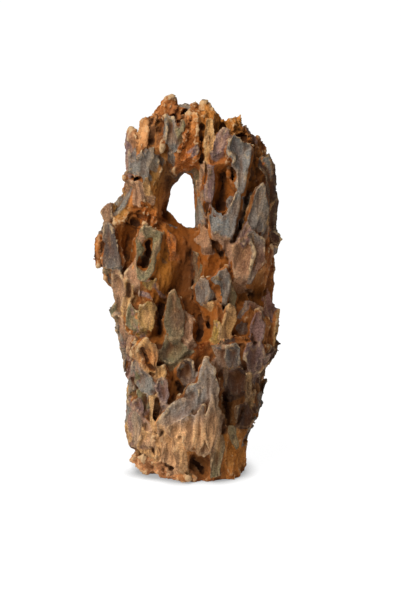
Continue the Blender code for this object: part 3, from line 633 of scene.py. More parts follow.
# %% Plates of the left tower and the arch
# Name: finish, proud, lean, dish: outline
PLATES = rows_of("""
peak flake: clay 2 1 0: -13 252, -12 248, -12 244, -19 245, -18 249;
peak lump: clay 2 1 0: -12 252, -9 250, -8 246, -9 241, -13 239, -20 237, -24 239, -23 243, -21 246,
    -18 249;
right peak: clay 2.5 0 0: 9 248, 12 247, 14 244, 16 241, 16 236, 14 231, 8 233, 5 237, 5 242, 7 244;
arch crest: clay 2 0 0: -8 247, -4 247, 0 248, 4 247, 4 238, 1 233, -2 241, -6 242;
narrow plate: slate 1.5 0 1.2: -14 238, -10 237, -8 232, -7 226, -9 219, -12 218, -14 222, -15 230;
narrow side: olive 2.5 0 0: -9 231, -4 236, -3 232, -6 226, -8 224;
throat face: slate 1 0 0: -13 215, -9 216, -7 213, -10 208, -12 209;
upper tongue: clay 3.5 1 0: -2 240, 4 241, 6 231, 6 220, 2 213, -4 209, -8 210, -7 214, -4 218, -3 226,
    -3 233;
lower tongue: clay 4.5 2 0: 4 222, 6 215, 4 209, 0 206, -5 203, -10 201, -11 205, -7 209, -2 212, 1 216;
left horn: mauve 5 0 0: -41 229, -39 231, -37 230, -34 226, -33 216, -35 208, -37 200, -40 204, -41 216;
left bump: clay 2.5 0 0: -31 232, -30 237, -27 239, -24 239, -24 226, -27 218, -31 219, -32 224;
lumpy column: clay 2.5 0 0: -22 240, -19 238, -15 239, -14 231, -15 222, -18 218, -22 220, -23 230;
streaked plate: slate 3.5 0 0: -39 220, -37 213, -35 218, -33 212, -30 217, -28 213, -25 219, -22 219,
    -22 213, -25 207, -26 200, -29 197, -33 202, -39 203;
left ledge: clay 4 0 0: -42 202, -40 204, -37 204, -38 199, -40 198, -42 199;
rose plate: rose 3.5 0 0: -39 197, -33 198, -30 196, -29 188, -33 183, -38 184, -40 188;
seam ridge: tan 3 0 0: -29 200, -26 199, -25 191, -27 187, -29 190;
ochre band: clay 1.5 0 0: -25 206, -20 212, -19 205, -20 195, -22 188, -26 188, -24 196;
saddle lump: clay 2 0 0: -30 188, -22 188, -18 184, -17 178, -22 174, -28 176, -31 182;
""")
print("plates drawn:", len(PLATES))

# %% [markdown]
# The shoulder is one long gray plate with a dish of clay above it. Beside it stands a thick ring of rock
# round a deep hole, and small slabs line the valley under the swim-through.

# %% Plates of the shoulder and the ring
PLATES += rows_of("""
shoulder rose: rose 2.5 0 0: -57 178, -54 183, -50 185, -49 182, -50 173, -55 171;
shoulder dish: clay 2 0 2.5: -49 185, -46 188, -42 189, -38 185, -38 178, -41 172, -46 170, -49 174;
shoulder plate: slate 5 3 0: -56 171, -53 171, -50 169, -48 165, -46 158, -45 150, -44 142, -50 140,
    -56 142, -56 152, -56 162;
edge knobs: clay 2.5 0 0: -61 160, -58 162, -57 158, -57 149, -58 141, -61 145, -62 153;
edge knob low: clay 2 0 0: -56 140, -50 140, -50 133, -55 134;
ring: olive 6.5 0 0: -34 160, -31 166, -27 168, -23 166, -19 164, -18 160, -19 154, -22 147, -23 141,
    -26 136, -30 133, -33 134, -33 143, -34 152;
ring blade: rose 3.5 0 0: -35 148, -34 140, -33 131, -35 128, -38 131, -40 137, -37 143;
valley lump: orange 3 0 0: -15 168, -11 168, -9 160, -9 152, -12 150, -14 157;
valley slab: olive 1 0 0: 2 152, 5 150, 6 142, 5 134, 2 133, 1 142;
""")
print("plates drawn:", len(PLATES))

# %% [markdown]
# The right tower has the plates that stand out most: one bent like a hook, one forked at its top, and a
# mauve lobe beside them. The narrow ones on its left make the inner wall of the hole.

# %% Plates of the right tower
PLATES += rows_of("""
tan ridge: tan 3 0 0: 10 237, 14 237, 15 226, 13 214, 10 206, 8 208, 8 218, 9 228;
upper face: clay 2 0 0: 12 235, 19 236, 22 232, 17 227, 14 221, 12 214, 11 222;
top knob: clay 2.5 0 -1: 20 235, 22 237, 27 240, 32 240, 33 238, 34 234, 33 228, 29 226, 26 228, 23 232;
right knob: clay 3 0 0: 35 235, 38 231, 40 227, 44 226, 47 224, 49 220, 47 212, 43 206, 40 210, 38 220,
    36 226;
left lobe: mauve 5.5 0 0.8: 22 231, 25 229, 24 225, 21 220, 20 215, 17 213, 15 216, 15 222, 18 228;
hook plate: slate 8.5 0 0: 27 227, 30 224, 33 221, 37 222, 38 214, 38 206, 37 200, 35 195, 33 190,
    29 193, 27 196, 25 201, 25 206, 27 209, 26 212, 23 214, 23 218, 24 223;
overhang tongue: clay 5 2 0: 13 216, 17 217, 24 214, 24 209, 14 206, 12 210;
flank: umber 2.5 0 0: 44 212, 50 216, 53 209, 55 197, 56 184, 55 168, 51 165, 50 176, 50 190, 47 199,
    43 205;
right plate: slate 5 0 -0.8: 45 196, 48 191, 49 181, 48 172, 46 165, 42 163, 38 167, 36 173, 38 179,
    40 185, 42 191;
slender plate: slate 1.5 0 0: 29 188, 33 187, 32 182, 30 177, 29 172, 27 176, 27 183;
forked plate: slate 5 2 -0.6: 13 184, 15 181, 17 177, 20 173, 23 176, 25 181, 28 190, 31 190, 31 183,
    30 174, 28 166, 26 161, 24 160, 22 162, 19 165, 15 163, 13 168, 12 176;
inner edge: olive 1.5 0 0: 1 203, 4 206, 6 197, 5 186, 3 180, 1 186, 0 195;
inner face: rose 2.5 0 0: 6 208, 9 210, 9 200, 8 190, 7 182, 5 184, 6 196;
inner rib: mauve 2.5 0 0: 11 206, 15 205, 15 195, 14 186, 12 180, 9 185, 10 195;
drop lump: rose 3 0 0: 3 166, 8 168, 12 164, 12 157, 9 154, 5 157, 2 161;
""")
print("plates drawn:", len(PLATES))

# %% [markdown]
# Below the tower the right side steps back in shelves, with small gray plates over caves of dark clay.

# %% Plates of the right side
PLATES += rows_of("""
wedge: rose 3.5 0 0: 13 164, 18 163, 22 160, 27 160, 28 152, 28 147, 25 146, 21 152, 17 158;
right low plate: mauve 3.5 0 0: 36 170, 39 167, 38 160, 34 156, 30 158, 33 164;
big right plate: rose 4 3 1.5: 30 158, 37 162, 41 152, 38 142, 35 133, 29 134, 27 141, 27 147, 28 153;
rimmed right plate: slate 6.5 2 2: 36 162, 40 164, 46 160, 47 152, 48 146, 46 142, 42 138, 39 131,
    36 130, 37 140, 40 151;
flank bump: umber 3.5 0 0: 51 166, 55 166, 58 163, 59 160, 56 156, 52 157;
flank low: clay 2 0 0: 50 154, 54 155, 54 143, 54 131, 51 128, 49 140;
small plate: slate 5 0 0: 5 132, 8 134, 12 132, 13 126, 11 120, 7 117, 4 120, 3 127;
tailed plate: slate 6 0 0: 13 133, 16 136, 18 139, 23 141, 25 138, 25 130, 24 124, 23 118, 21 119,
    20 124, 19 129, 15 131;
tail strip: olive 3 0 0: 25 131, 28 128, 29 122, 28 117, 26 118, 25 124;
right edge plate: mauve 2.5 0 0: 46 122, 50 125, 53 121, 56 114, 57 103, 54 101, 51 106, 48 113;
short column: clay 3 0 0: 9 118, 14 119, 18 117, 17 108, 15 103, 12 108, 9 110;
tan leaf: tan 5 0 0: 25 117, 28 114, 30 107, 28 102, 25 96, 20 94, 18 97, 21 104, 23 111;
tan column: ochre 1.5 0 0: 15 106, 19 106, 19 96, 17 92, 14 95;
grooved plate: mauve 5 0 0: 41 112, 44 112, 47 104, 47 96, 45 91, 41 90, 38 95, 38 104;
shelf: clay 4.5 0 0: 15 90, 19 94, 24 95, 28 98, 33 96, 38 98, 39 93, 33 91, 27 93, 20 88;
right spike: umber 3 0 0: 50 100, 57 98, 60 92, 57 86, 51 86;
stepped edge: umber 2.5 0 0: 46 90, 52 90, 56 86, 54 81, 50 79, 49 74, 45 68, 43 73, 44 82;
""")
print("plates drawn:", len(PLATES))

# %% [markdown]
# The left side is drawn out in leaves and ribs that stand on end, in olive, mauve and tan.

# %% Plates of the left side
PLATES += rows_of("""
rose ridges: rose 2.5 0 0: -49 139, -45 139, -42 134, -41 126, -43 116, -45 112, -47 117, -49 127;
rose rib: tan 3 0 0: -40 134, -37 130, -37 122, -40 116, -43 111, -44 114, -42 122, -41 128;
left spike: olive 2.5 0 0: -53 113, -50 117, -47 118, -47 112, -50 109;
edge leaf: slate 2.5 0 0: -50 110, -46 112, -44 104, -43 95, -42 84, -45 86, -46 94, -48 103;
olive leaf: olive 2.5 0 1: -38 118, -35 114, -33 106, -36 100, -40 103, -41 111;
mid mauve: mauve 2 0 0: -42 100, -38 99, -35 93, -36 84, -40 80, -43 85;
olive column: clay 0.5 0 0: -30 132, -22 134, -19 128, -20 120, -24 116, -29 118, -33 124;
yellow plate: ochre 4 0 0: -32 118, -29 116, -26 119, -23 117, -21 111, -22 104, -25 99, -28 102,
    -31 102, -34 110;
green leaf: olive 8 0 0.5: -13 122, -10 126, -6 120, -3 112, -3 103, -4 98, -7 94, -11 95, -14 100,
    -16 108, -15 116;
mauve blade: rose 4 0 0: -3 113, 0 111, 2 103, 2 96, -1 92, -4 95, -4 104;
under leaf: olive 2 0 1.5: -15 98, -11 95, -6 93, -1 88, -5 84, -9 80, -13 78, -17 80, -19 86, -17 92;
ring lump: tan 5 0 2: -35 86, -32 91, -28 94, -23 92, -20 86, -21 80, -22 75, -27 73, -31 78, -34 80;
tan lump: tan 4 0 0: -21 77, -17 77, -15 72, -18 68, -23 69;
left low plate: slate 4 0 0: -35 80, -31 79, -29 74, -24 70, -24 62, -27 58, -31 59, -34 64, -38 60,
    -40 57, -40 66, -38 74;
left edge low: slate 3 0 0: -46 90, -42 88, -42 80, -41 72, -43 72, -45 80;
small mauve: mauve 3 0 1: -35 55, -31 56, -29 50, -31 46, -36 48, -38 52;
mauve leaf: mauve 5 0 0: -21 68, -17 70, -14 66, -13 58, -15 51, -18 51, -21 57, -23 63;
long gray plate: slate 3 0 -0.8: -41 54, -37 48, -33 46, -31 40, -31 31, -34 24, -38 24, -41 32, -42 42;
yellow rib: tan 3 0 0: -27 57, -23 58, -23 48, -22 38, -24 33, -26 38, -26 48;
""")
print("plates drawn:", len(PLATES))

# %% [markdown]
# The great plate low in the middle is a broad shield with three soft ribs, drawn as plates on a plate. At
# the foot the clay is pitted and crumbles.

# %% The great plate and the foot
PLATES += rows_of("""
umber dish: umber 3 0 2.5: -8 76, -5 80, -1 82, 2 79, 4 73, 2 67, -3 65, -7 69;
great plate: slate 8 0 -2: 10 83, 14 77, 17 69, 18 62, 17 57, 18 51, 21 42, 22 36, 18 33, 17 28, 14 20,
    9 17, 3 21, -3 25, -9 28, -14 34, -18 38, -21 40, -17 46, -11 53, -6 57, -3 57, 0 65, 4 67, 6 75;
great rib: rose 8.5 0 0: 13 61, 16 50, 18 42, 16 30, 12 20, 10 28, 9 38, 11 48;
blue band: slate 9 0 0: -19 41, -10 52, -4 55, 2 64, 6 61, 5 52, 0 46, -7 42, -13 38;
first rib: rose 8.8 0 0: -14 37, -10 41, -6 43, -5 33, -8 27, -12 31;
second rib: rose 9.3 0 0: -5 43, 0 46, 3 46, 3 33, 1 22, -3 25, -5 34;
third rib: rose 8.8 0 0: 4 48, 8 52, 9 40, 8 26, 5 19, 3 24, 4 35;
low slope: rose 4 0 0: -21 40, -14 35, -11 30, -9 18, -8 8, -14 9, -18 16, -17 26, -20 33;
long ridge: tan 5 0 -1.5: -11 37, -6 28, -3 20, -1 8, -6 8, -8 18, -11 27;
rose face: rose 3 0 0: 13 91, 20 92, 23 90, 23 82, 22 77, 19 78, 16 83;
dark slate: slate 5 0 0: 23 91, 28 92, 32 88, 32 79, 28 74, 24 76, 22 83;
umber face: umber 2 0 1.5: 22 76, 28 76, 33 76, 36 70, 35 62, 31 58, 26 59, 23 65;
rimmed plate: mauve 5 0 0: 36 92, 44 93, 47 86, 45 78, 41 73, 37 75, 35 83;
tan rib: tan 3 0 0: 35 72, 38 74, 39 64, 38 56, 36 56, 35 64;
low bump: umber 3 0 0: 42 61, 45 58, 47 55, 46 50, 43 47, 41 52;
low umber: umber 2 0 0: 30 50, 36 52, 40 46, 40 40, 36 36, 30 38;
orange lumps: clay 2.5 0 -1: 23 36, 30 38, 35 33, 37 27, 36 20, 37 14, 35 6, 31 3, 24 4, 23 14, 24 25;
dark ridges: olive 2.5 0 0: 16 24, 18 30, 21 32, 22 24, 20 14, 19 4, 14 3, 13 10, 14 17;
pitted tan: tan 1.5 0 0: -32 36, -27 32, -23 30, -17 34, -14 28, -15 19, -22 16, -29 17, -33 22;
base crumble: clay 2 0 0: -39 12, -35 17, -26 14, -15 13, -6 9, -1 3, -9 3, -19 5, -29 6;
""")
print("plates drawn:", len(PLATES))

# %% [markdown]
# ## Laying the front plates
# All the plates go into one bmesh. A copy of their caps, the faces that look out of the stone, is kept aside
# with their finishes, and so are points along their rims, because the colours need both later.

# %% Lay the front plates
# The finish of each plate is the place of its name in this list
FINISHES = ["slate", "mauve", "olive", "rose", "tan", "ochre", "orange", "umber"]

RIM_STEP = 0.7
CAP_FACING = -0.45

plates = bmesh.new()
caps = bmesh.new()
finish_by_cap = []
rim_points = []


def keep_cap(first, into, finish):
    """Copy the faces of a new plate that look out of the stone, and note their finish and their rim."""
    plates.faces.ensure_lookup_table()
    plates.normal_update()
    if finish == "clay":
        return
    cap = {face for face in plates.faces[first:] if face.normal.dot(into) < CAP_FACING}
    for face in plates.faces[first:]:
        if face not in cap:
            continue
        caps.faces.new([caps.verts.new(vertex.co) for vertex in face.verts])
        finish_by_cap.append(FINISHES.index(finish))
        for edge in face.edges:
            if all(other in cap for other in edge.link_faces):
                continue
            start, end = [vertex.co for vertex in edge.verts]
            steps = 1 + int((end - start).length / RIM_STEP)
            rim_points.extend(start.lerp(end, step / steps) for step in range(steps))


line_of_sight = Vector((0, 1, -SIGHT_DROP)).normalized()
front_sheet = (Vector((0, SHEET_Y, 0)), Vector((1, 0, 0)), line_of_sight)
for name, look, outline in PLATES:
    finish, *sizes = look.split()
    proud, lean, dish = [float(size) for size in sizes]
    first_face = len(plates.faces)
    lay_plate(plates, front_sheet, proud + BODY_SHRINK, lean, dish, groups(outline), SHEET_TO_MIDDLE)
    keep_cap(first_face, line_of_sight, finish)
print("front plates:", len(PLATES), "with", len(plates.faces), "faces")

# %% [markdown]
# ## Plates all round
# Nobody has drawn the sides and the back, so they get irregular shards of five sizes in upright columns,
# from a seeded random generator: the same seed gives the same shapes each time. Each column has a small
# sheet of its own, turned to face it. The finishes follow the front: mostly gray and mauve, with some rose,
# olive and tan.

# %% Lay the side and back plates
SIDE_SEED = 5
SIDE_FIRST = 70
SIDE_LAST = 300
SIDE_STEP = 15
SIDE_RADIUS = 30.0
SIDE_TOP = 178.0
SIDE_START = (8, 14)
SIDE_SIZES = [0.6, 0.8, 1.0, 1.2, 1.7]
SIDE_TALL = (16, 26)
SIDE_WIDE = (4, 6.5)
SIDE_SHIFT = 5
SIDE_CORNERS = [6, 7, 9]
SIDE_TWIST = 0.25
SIDE_REACH = (0.6, 1.15)
SIDE_PROUD = (0.5, 4.0)
SIDE_LEAN = (-1, 2)
SIDE_PITCH = (0.8, 1.0)
SIDE_GAP = 12
SIDE_FINISHES = ["slate", "mauve", "slate", "rose", "olive", "tan", "mauve"]

picker = random.Random(SIDE_SEED)
for turn in range(SIDE_FIRST, SIDE_LAST, SIDE_STEP):
    azimuth = math.radians(turn)
    into = Vector((-math.sin(azimuth), math.cos(azimuth), 0))
    side_sheet = (-into * SIDE_RADIUS, Vector((math.cos(azimuth), math.sin(azimuth), 0)), into)
    height = SIDE_START[0] + picker.uniform(0, SIDE_START[1])
    while height < SIDE_TOP:
        size = picker.choice(SIDE_SIZES)
        tall = size * picker.uniform(*SIDE_TALL)
        wide = size * picker.uniform(*SIDE_WIDE)
        shift = picker.uniform(-SIDE_SHIFT, SIDE_SHIFT)
        sides = picker.choice(SIDE_CORNERS)
        outline = []
        for corner in range(sides):
            angle = 2 * math.pi * corner / sides + picker.uniform(-SIDE_TWIST, SIDE_TWIST)
            reach = picker.uniform(*SIDE_REACH)
            x = shift + wide * reach * math.sin(angle)
            outline.append((x, height + tall / 2 * (1 + reach * math.cos(angle))))
        proud = picker.uniform(*SIDE_PROUD)
        first_face = len(plates.faces)
        lay_plate(plates, side_sheet, proud, picker.uniform(*SIDE_LEAN), 0, outline)
        keep_cap(first_face, into, SIDE_FINISHES[picker.randrange(len(SIDE_FINISHES))])
        height += tall * picker.uniform(*SIDE_PITCH) + picker.uniform(0, SIDE_GAP)
cap_tree = BVHTree.FromBMesh(caps)
caps.free()
rim_tree = KDTree(len(rim_points))
for number, point in enumerate(rim_points):
    rim_tree.insert(point, number)
rim_tree.balance()
print("all plates:", len(plates.faces), "faces,", len(rim_points), "rim points")

# %% [markdown]
# ## One skin, and the hole
# Body and plates melt to one skin. The hole comes after that, so that no plate blocks it: a slanting
# passage that is wide in front, narrow in the middle and wide again behind, cut with a Boolean. A second
# remesh gives its walls the same even quads as the rest.

# %% Melt, cut the hole and melt again
SKIN_VOXEL = 0.7
CLEFT_WIDER = 1.05
HOLE_FRONT = groups("3 203, -4 204, -9 202, -13 206, -18 205, -21 194, -21 180, -19 169, -10 162, 0 157, "
                    "6 164, 5 178, 5 190")
HOLE_THROAT = groups("0 202, -3 204, -5 202, -9 196, -12 190, -15 184, -15 180, -12 176, -8 172, -2 168, "
                     "3 167, 4 178, 1 191")
HOLE_BACK = groups("2 200, -2 202, -4 201, -8 195, -11 190, -13 183, -13 178, -10 172, -6 166, 0 161, "
                   "6 163, 7 176, 4 190")
HOLE_LAYERS = [(-60, HOLE_FRONT), (-6, HOLE_FRONT), (8, HOLE_THROAT), (26, HOLE_BACK), (60, HOLE_BACK)]


body.from_mesh(as_mesh(plates, "plates"))
passage = bmesh.new()
add_loft(passage, [[from_sheet(x, height, y) for x, height in outline] for y, outline in HOLE_LAYERS])
skin = fused(body, SKIN_VOXEL)
for radius, depth, path in CHANNELS:
    press(skin, radius * CLEFT_WIDER, depth, path)
skin = relaxed(fused(without(skin, passage), SKIN_VOXEL), 4, 0.5)
body.free()
print("skin:", len(skin.faces), "quads")

# %% [markdown]
# ## What the skin remembers
# The finish needs to know some things about each point: whether it lies on a plate and on which, how far
# it is from the nearest rim, how deep it lies, and later how sharply it stands out. They are kept as
# attributes of the vertices, which stay with them while the skin is pushed about. Painting them by hand
# would have to be done again after every change of shape.

# %% Plate and depth attributes
PLATE_FULL = 0.8
PLATE_NONE = 2.2

NOTES = ("plate", "depth", "ridge", "broad", "border", "scale", "hollow")
plate_layer, depth_layer, ridge_layer, broad_layer, border_layer, scale_layer, hollow_layer = [
    skin.verts.layers.float.new(name) for name in NOTES]
finish_layer = skin.verts.layers.int.new("finish")

for vertex in skin.verts:
    place, normal, index, gap = cap_tree.find_nearest(vertex.co)
    vertex[plate_layer] = min(1.0, max(0.0, (PLATE_NONE - gap) / (PLATE_NONE - PLATE_FULL)))
    vertex[finish_layer] = finish_by_cap[index]
    vertex[border_layer] = rim_tree.find(vertex.co)[2]
    place, normal, index, gap = original_tree.find_nearest(vertex.co)
    vertex[depth_layer] = math.copysign(gap, (place - vertex.co).dot(normal))
plate_share = sum(vertex[plate_layer] for vertex in skin.verts) / len(skin.verts)
print("share of the skin on plates:", round(plate_share, 2))

# %% [markdown]
# ## Weathering
# Smooth noise shifts the whole skin first, so that the drawn outlines of the plates turn ragged. Then comes
# the rough surface: the clay between the plates is lumpy and full of small pits, and the plates are only
# finely grooved from top to bottom. Hollows and clefts have been washed smoother than the rest.

# %% Ragged outlines
WARP_SEED = 11
WARP_REACH = 1.3
WARP_SIZE = 8.0

noise.seed_set(WARP_SEED)
push_out(skin, [noise.noise_vector(upright(vertex.co, WARP_SIZE, WARP_SIZE * 1.6)) * WARP_REACH
                for vertex in skin.verts])

# %% Note the hollows and clefts
HOLLOW_NOTE = 0.6
NOTE_WIDER = 1.3

for radius, depth, path in HOLLOWS:
    press(skin, radius * NOTE_WIDER, 0, path, hollow_layer)
for vertex in skin.verts:
    vertex[hollow_layer] *= HOLLOW_NOTE
for radius, depth, path in CHANNELS:
    press(skin, radius * NOTE_WIDER, 0, path, hollow_layer)
in_hollows = sum(vertex[hollow_layer] > 0.1 for vertex in skin.verts)
print("share of the skin in hollows:", round(in_hollows / len(skin.verts), 2))

# %% [markdown]
# ## Scales
# Between the drawn plates the rock has broken into many smaller scales: shallow scoops with sharp edges,
# each a little prouder at its upper end. Voronoi cells on coordinates drawn out along Z lay them out. Each
# cell is scooped round its middle, so it meets its neighbours in a sharp crest, and its own number lifts or
# sinks it. The levels of neighbours are blended by closeness, because a sudden step would fold the mesh.

# %% Lay out the scales
SCALE_WIDTH = 10.0
SCALE_HEIGHT = 30.0
SCALE_BEND = 0.3
SCALE_BLEND = 7.0
SCALE_STEP = 1.2
SCALE_TIP = 0.8
SCALE_SCOOP = 3.4
SCOOP_MEAN = 0.2
SCALE_ON_PLATE = 0.3


def scale_at(place):
    """How far the scales stand out at a point, and the number of its scale from 0 to 1."""
    spot = upright(place, SCALE_WIDTH, SCALE_HEIGHT)
    spot += noise.noise_vector(spot * 1.3) * SCALE_BEND
    gaps, points = noise.voronoi(spot)
    total = level = number = 0.0
    for gap, point in zip(gaps, points):
        share = math.exp((gaps[0] - gap) * SCALE_BLEND)
        own = noise.cell(point * 5.0)
        level += share * (SCALE_STEP * (own - 0.5) + SCALE_TIP * (spot.z - point.z))
        number += share * own
        total += share
    return level / total + SCALE_SCOOP * (gaps[0] * gaps[0] - SCOOP_MEAN), number / total


# %% Rough clay and grooved plates
LUMP_SIZE = 5.0
LUMP_DEPTH = 0.7
PIT_SIZE = 3.2
PIT_DEPTH = 1.1
CREST_WIDTH = 9.0
CREST_HEIGHT = 34.0
CREST_MEAN = 0.83
PLATE_CREST = 0.5
CLAY_CREST = 1.4
GROOVE_WIDTH = 2.2
GROOVE_HEIGHT = 11.0
GROOVE_DEPTH = 0.25
GRIT_SIZE = 1.6
GRIT_DEPTH = 0.1
HOLLOW_CALM = 0.8
HOLE_CALM = 0.75
HOLE_MIDDLE = (-6, 185)
HOLE_RADII = (14, 30)
# Where the clay is crumbly and pitted: middle on the sheet and radius
CRUMBLY = [((-30, 22), 16), ((-16, 8), 14), ((-24, 168), 14), ((-40, 166), 10), ((-10, 232), 16),
           ((30, 226), 14), ((-2, 170), 10), ((-40, 96), 10)]


def crumbly_at(place):
    """How crumbly the clay is at a point, from 0 to 1."""
    height = sheet_height(place)
    gaps = [math.hypot(place.x - x, (height - z) * 0.8) / radius for (x, z), radius in CRUMBLY]
    return math.exp(-min(gaps) ** 2)


def by_hole_at(place):
    """How close a point lies to the hole, from 0 to 1."""
    across = (place.x - HOLE_MIDDLE[0]) / HOLE_RADII[0]
    up = (sheet_height(place) - HOLE_MIDDLE[1]) / HOLE_RADII[1]
    return math.exp(-(across * across + up * up) ** 2)


def roughness_at(place, plate, hollow, scale):
    """How far a point stands out, in millimetres, on clay or on a plate, and less in a hollow."""
    groove = GROOVE_DEPTH * noise.fractal(upright(place, GROOVE_WIDTH, GROOVE_HEIGHT), 0.9, 2.0, 2)
    groove += GRIT_DEPTH * noise.fractal(place / GRIT_SIZE, 0.8, 2.0, 2)
    crest_spot = upright(place, CREST_WIDTH, CREST_HEIGHT)
    crest = noise.ridged_multi_fractal(crest_spot, 1.0, 2.0, 2, 1.0, 1.0) - CREST_MEAN
    on_plate = groove + crest * PLATE_CREST + scale * SCALE_ON_PLATE
    if plate > 0.99:
        return on_plate * (1 - HOLE_CALM * by_hole_at(place))
    crumbly = crumbly_at(place)
    lump = noise.fractal(place / LUMP_SIZE, 0.7, 2.2, 4) * (0.4 + 1.6 * crumbly)
    pit = min(0.0, noise.noise(place / PIT_SIZE) + 0.05) * crumbly
    rough = lump * LUMP_DEPTH + pit * PIT_DEPTH + scale
    calm = 1 - HOLLOW_CALM * min(1.0, 2 * hollow)
    on_clay = groove * (2.5 - 1.5 * calm) + crest * CLAY_CREST + rough * calm
    return (on_clay + (on_plate - on_clay) * plate) * (1 - HOLE_CALM * by_hole_at(place))


moves = []
for vertex in skin.verts:
    scale, vertex[scale_layer] = scale_at(vertex.co)
    moves.append(vertex.normal * roughness_at(vertex.co, vertex[plate_layer], vertex[hollow_layer], scale))
push_out(skin, moves)
print("roughened", len(skin.verts), "points")

# %% [markdown]
# ## Sharper rims
# Remeshing rounds every edge. Pushing each point away from a smoothed copy of the skin does what sharpening
# does to a picture: rims stand out and clefts cut in. The same difference says how much a point stands out,
# so it is kept for the finish, once at the scale of a rim and once at the scale of a whole plate.

# %% Sharpen, and keep the relief
BROAD_ROUNDS = 50
BROAD_GAIN = 0.15
BROAD_LIMIT = 1.0
SHARPEN_ROUNDS = 4
SHARPEN_GAIN = 1.0
SHARPEN_LIMIT = 0.9
SMOOTH_SHARE = 0.7


def sharpened(bm, rounds, gain, limit, layer):
    """Push the points away from a smoothed copy, and note in a layer how far each stands out."""
    calm = relaxed(bm.copy(), rounds, SMOOTH_SHARE)
    for vertex, smooth in zip(bm.verts, calm.verts):
        gap = vertex.co - smooth.co
        vertex[layer] = gap.dot(smooth.normal)
        vertex.co += gap * min(gain, limit / max(gap.length, 1e-6))
    calm.free()


sharpened(skin, BROAD_ROUNDS, BROAD_GAIN, BROAD_LIMIT, broad_layer)
sharpened(skin, SHARPEN_ROUNDS, SHARPEN_GAIN, SHARPEN_LIMIT, ridge_layer)
skin.normal_update()
for name, layer in (("ridge", ridge_layer), ("broad", broad_layer), ("depth", depth_layer)):
    values = np.array([vertex[layer] for vertex in skin.verts])
    print(name, "in mm:", [round(float(np.percentile(values, share)), 2) for share in (2, 20, 50, 80, 98)])

# %% [markdown]
# ## A flat foot
# The stone has been sawn off level to stand by itself. bisect_plane cuts the skin at the table and drops
# what is under it, and holes_fill closes the cut. Loose crumbs go too, because the remesh can leave some,
# and a Decimate modifier thins the quads where the skin is nearly flat.

# %% Cut the foot, drop crumbs and thin the mesh
TRIANGLES = 196000


def islands(bm):
    """The separate skins of a bmesh, as lists of vertices."""
    waiting = set(bm.verts)
    found = []
    while waiting:
        front = [waiting.pop()]
        island = []
        while front:
            vertex = front.pop()
            island.append(vertex)
            for edge in vertex.link_edges:
                other = edge.other_vert(vertex)
                if other in waiting:
                    waiting.remove(other)
                    front.append(other)
        found.append(island)
    return found


crumbs = sorted(islands(skin), key=len)[:-1]
bmesh.ops.delete(skin, geom=[vertex for island in crumbs for vertex in island], context="VERTS")
cut = bmesh.ops.bisect_plane(skin, geom=skin.verts[:] + skin.edges[:] + skin.faces[:], plane_co=(0, 0, 0),
                             plane_no=(0, 0, 1), clear_inner=True)
rim_edges = [item for item in cut["geom_cut"] if isinstance(item, bmesh.types.BMEdge)]
bmesh.ops.holes_fill(skin, edges=rim_edges)
bmesh.ops.triangulate(skin, faces=skin.faces)
skin = with_modifier(skin, "DECIMATE", ratio=min(1.0, TRIANGLES / len(skin.faces)))
print("dropped", len(crumbs), "crumbs, kept", len(skin.faces), "triangles")

# %% [markdown]
# ## Colours of the rock
# The plates are slate gray with a touch of blue, mauve, olive, rose or umber, and the clay runs from gold at
# the peaks over orange at the foot to rust and dark brown in the hollows and on the right flank. The dark
# brown on the hole's left inner wall is painted shade, and on the right flank and at the lower right it is
# partly painted shade. Named swatches hold these colours. First every scale of the clay gets a shade of its
# own. Then a few soft zones on the sheet lay their swatches over the clay and over the plates, so that the
# colours pass into one another as stains do.

# %% Swatches and zones
SWATCHES = {
    "slate": "#66625B", "blue": "#5F6264", "mauve": "#6B5450", "olive": "#5E5840", "rose": "#8C6A50",
    "tan": "#A07A4C", "ochre": "#80642C", "orange": "#B4611E", "umber": "#321D12", "clay": "#904F19",
    "gold": "#BC7C30", "rust": "#783807", "brown": "#4E2A0D", "dusk": "#382722", "pale": "#B88C60",
    "peach": "#D49C70", "ash": "#86827C",
}
# The umber zone on the hole's left inner wall is painted shade. The dusk, brown and umber zones on the right
# flank and at the lower right are partly painted shade.
# Swatch: middle on the sheet, radius across and up, strength
CLAY_ZONES = """
clay: -14 246 12 12 0.7; peach: -1 240 14 9 0.2; mauve: -39 222 4 14 0.9; clay: 0 228 10 12 0.6;
orange: -3 212 8 12 0.5; gold: 12 240 10 14 0.7; gold: 28 236 12 10 0.8; pale: -29 230 8 14 0.7;
ochre: -22 198 4 14 0.8; umber: -13 197 7 16 0.95; orange: -26 180 14 12 0.8; gold: -23 186 8 8 0.6;
rust: -39 158 7 18 0.9; brown: 26 93 12 5 0.5; rust: -8 145 16 28 0.9; gold: -16 138 6 24 0.6;
umber: 0 136 5 24 0.85; rust: 12 142 14 14 0.8; rust: 20 190 8 22 0.8; brown: 40 205 5 30 0.7;
brown: 33 172 6 24 0.7; dusk: 56 185 8 34 0.9; rust: 52 145 7 24 0.7; brown: 38 124 14 14 0.8;
rust: 5 100 10 26 0.8; rust: 32 104 12 10 0.8; brown: -20 106 5 18 0.8; pale: -46 124 8 20 0.6;
umber: 38 58 18 30 0.95; umber: 24 48 7 20 0.95; umber: -6 62 7 10 0.8; pale: -24 30 14 18 0.8;
peach: -24 9 24 10 0.9; ochre: -45 180 7 9 0.8; umber: 5 12 8 8 0.9; gold: 30 20 10 18 0.6;
umber: 31 46 12 13 0.9; brown: 43 110 10 12 0.6;
"""
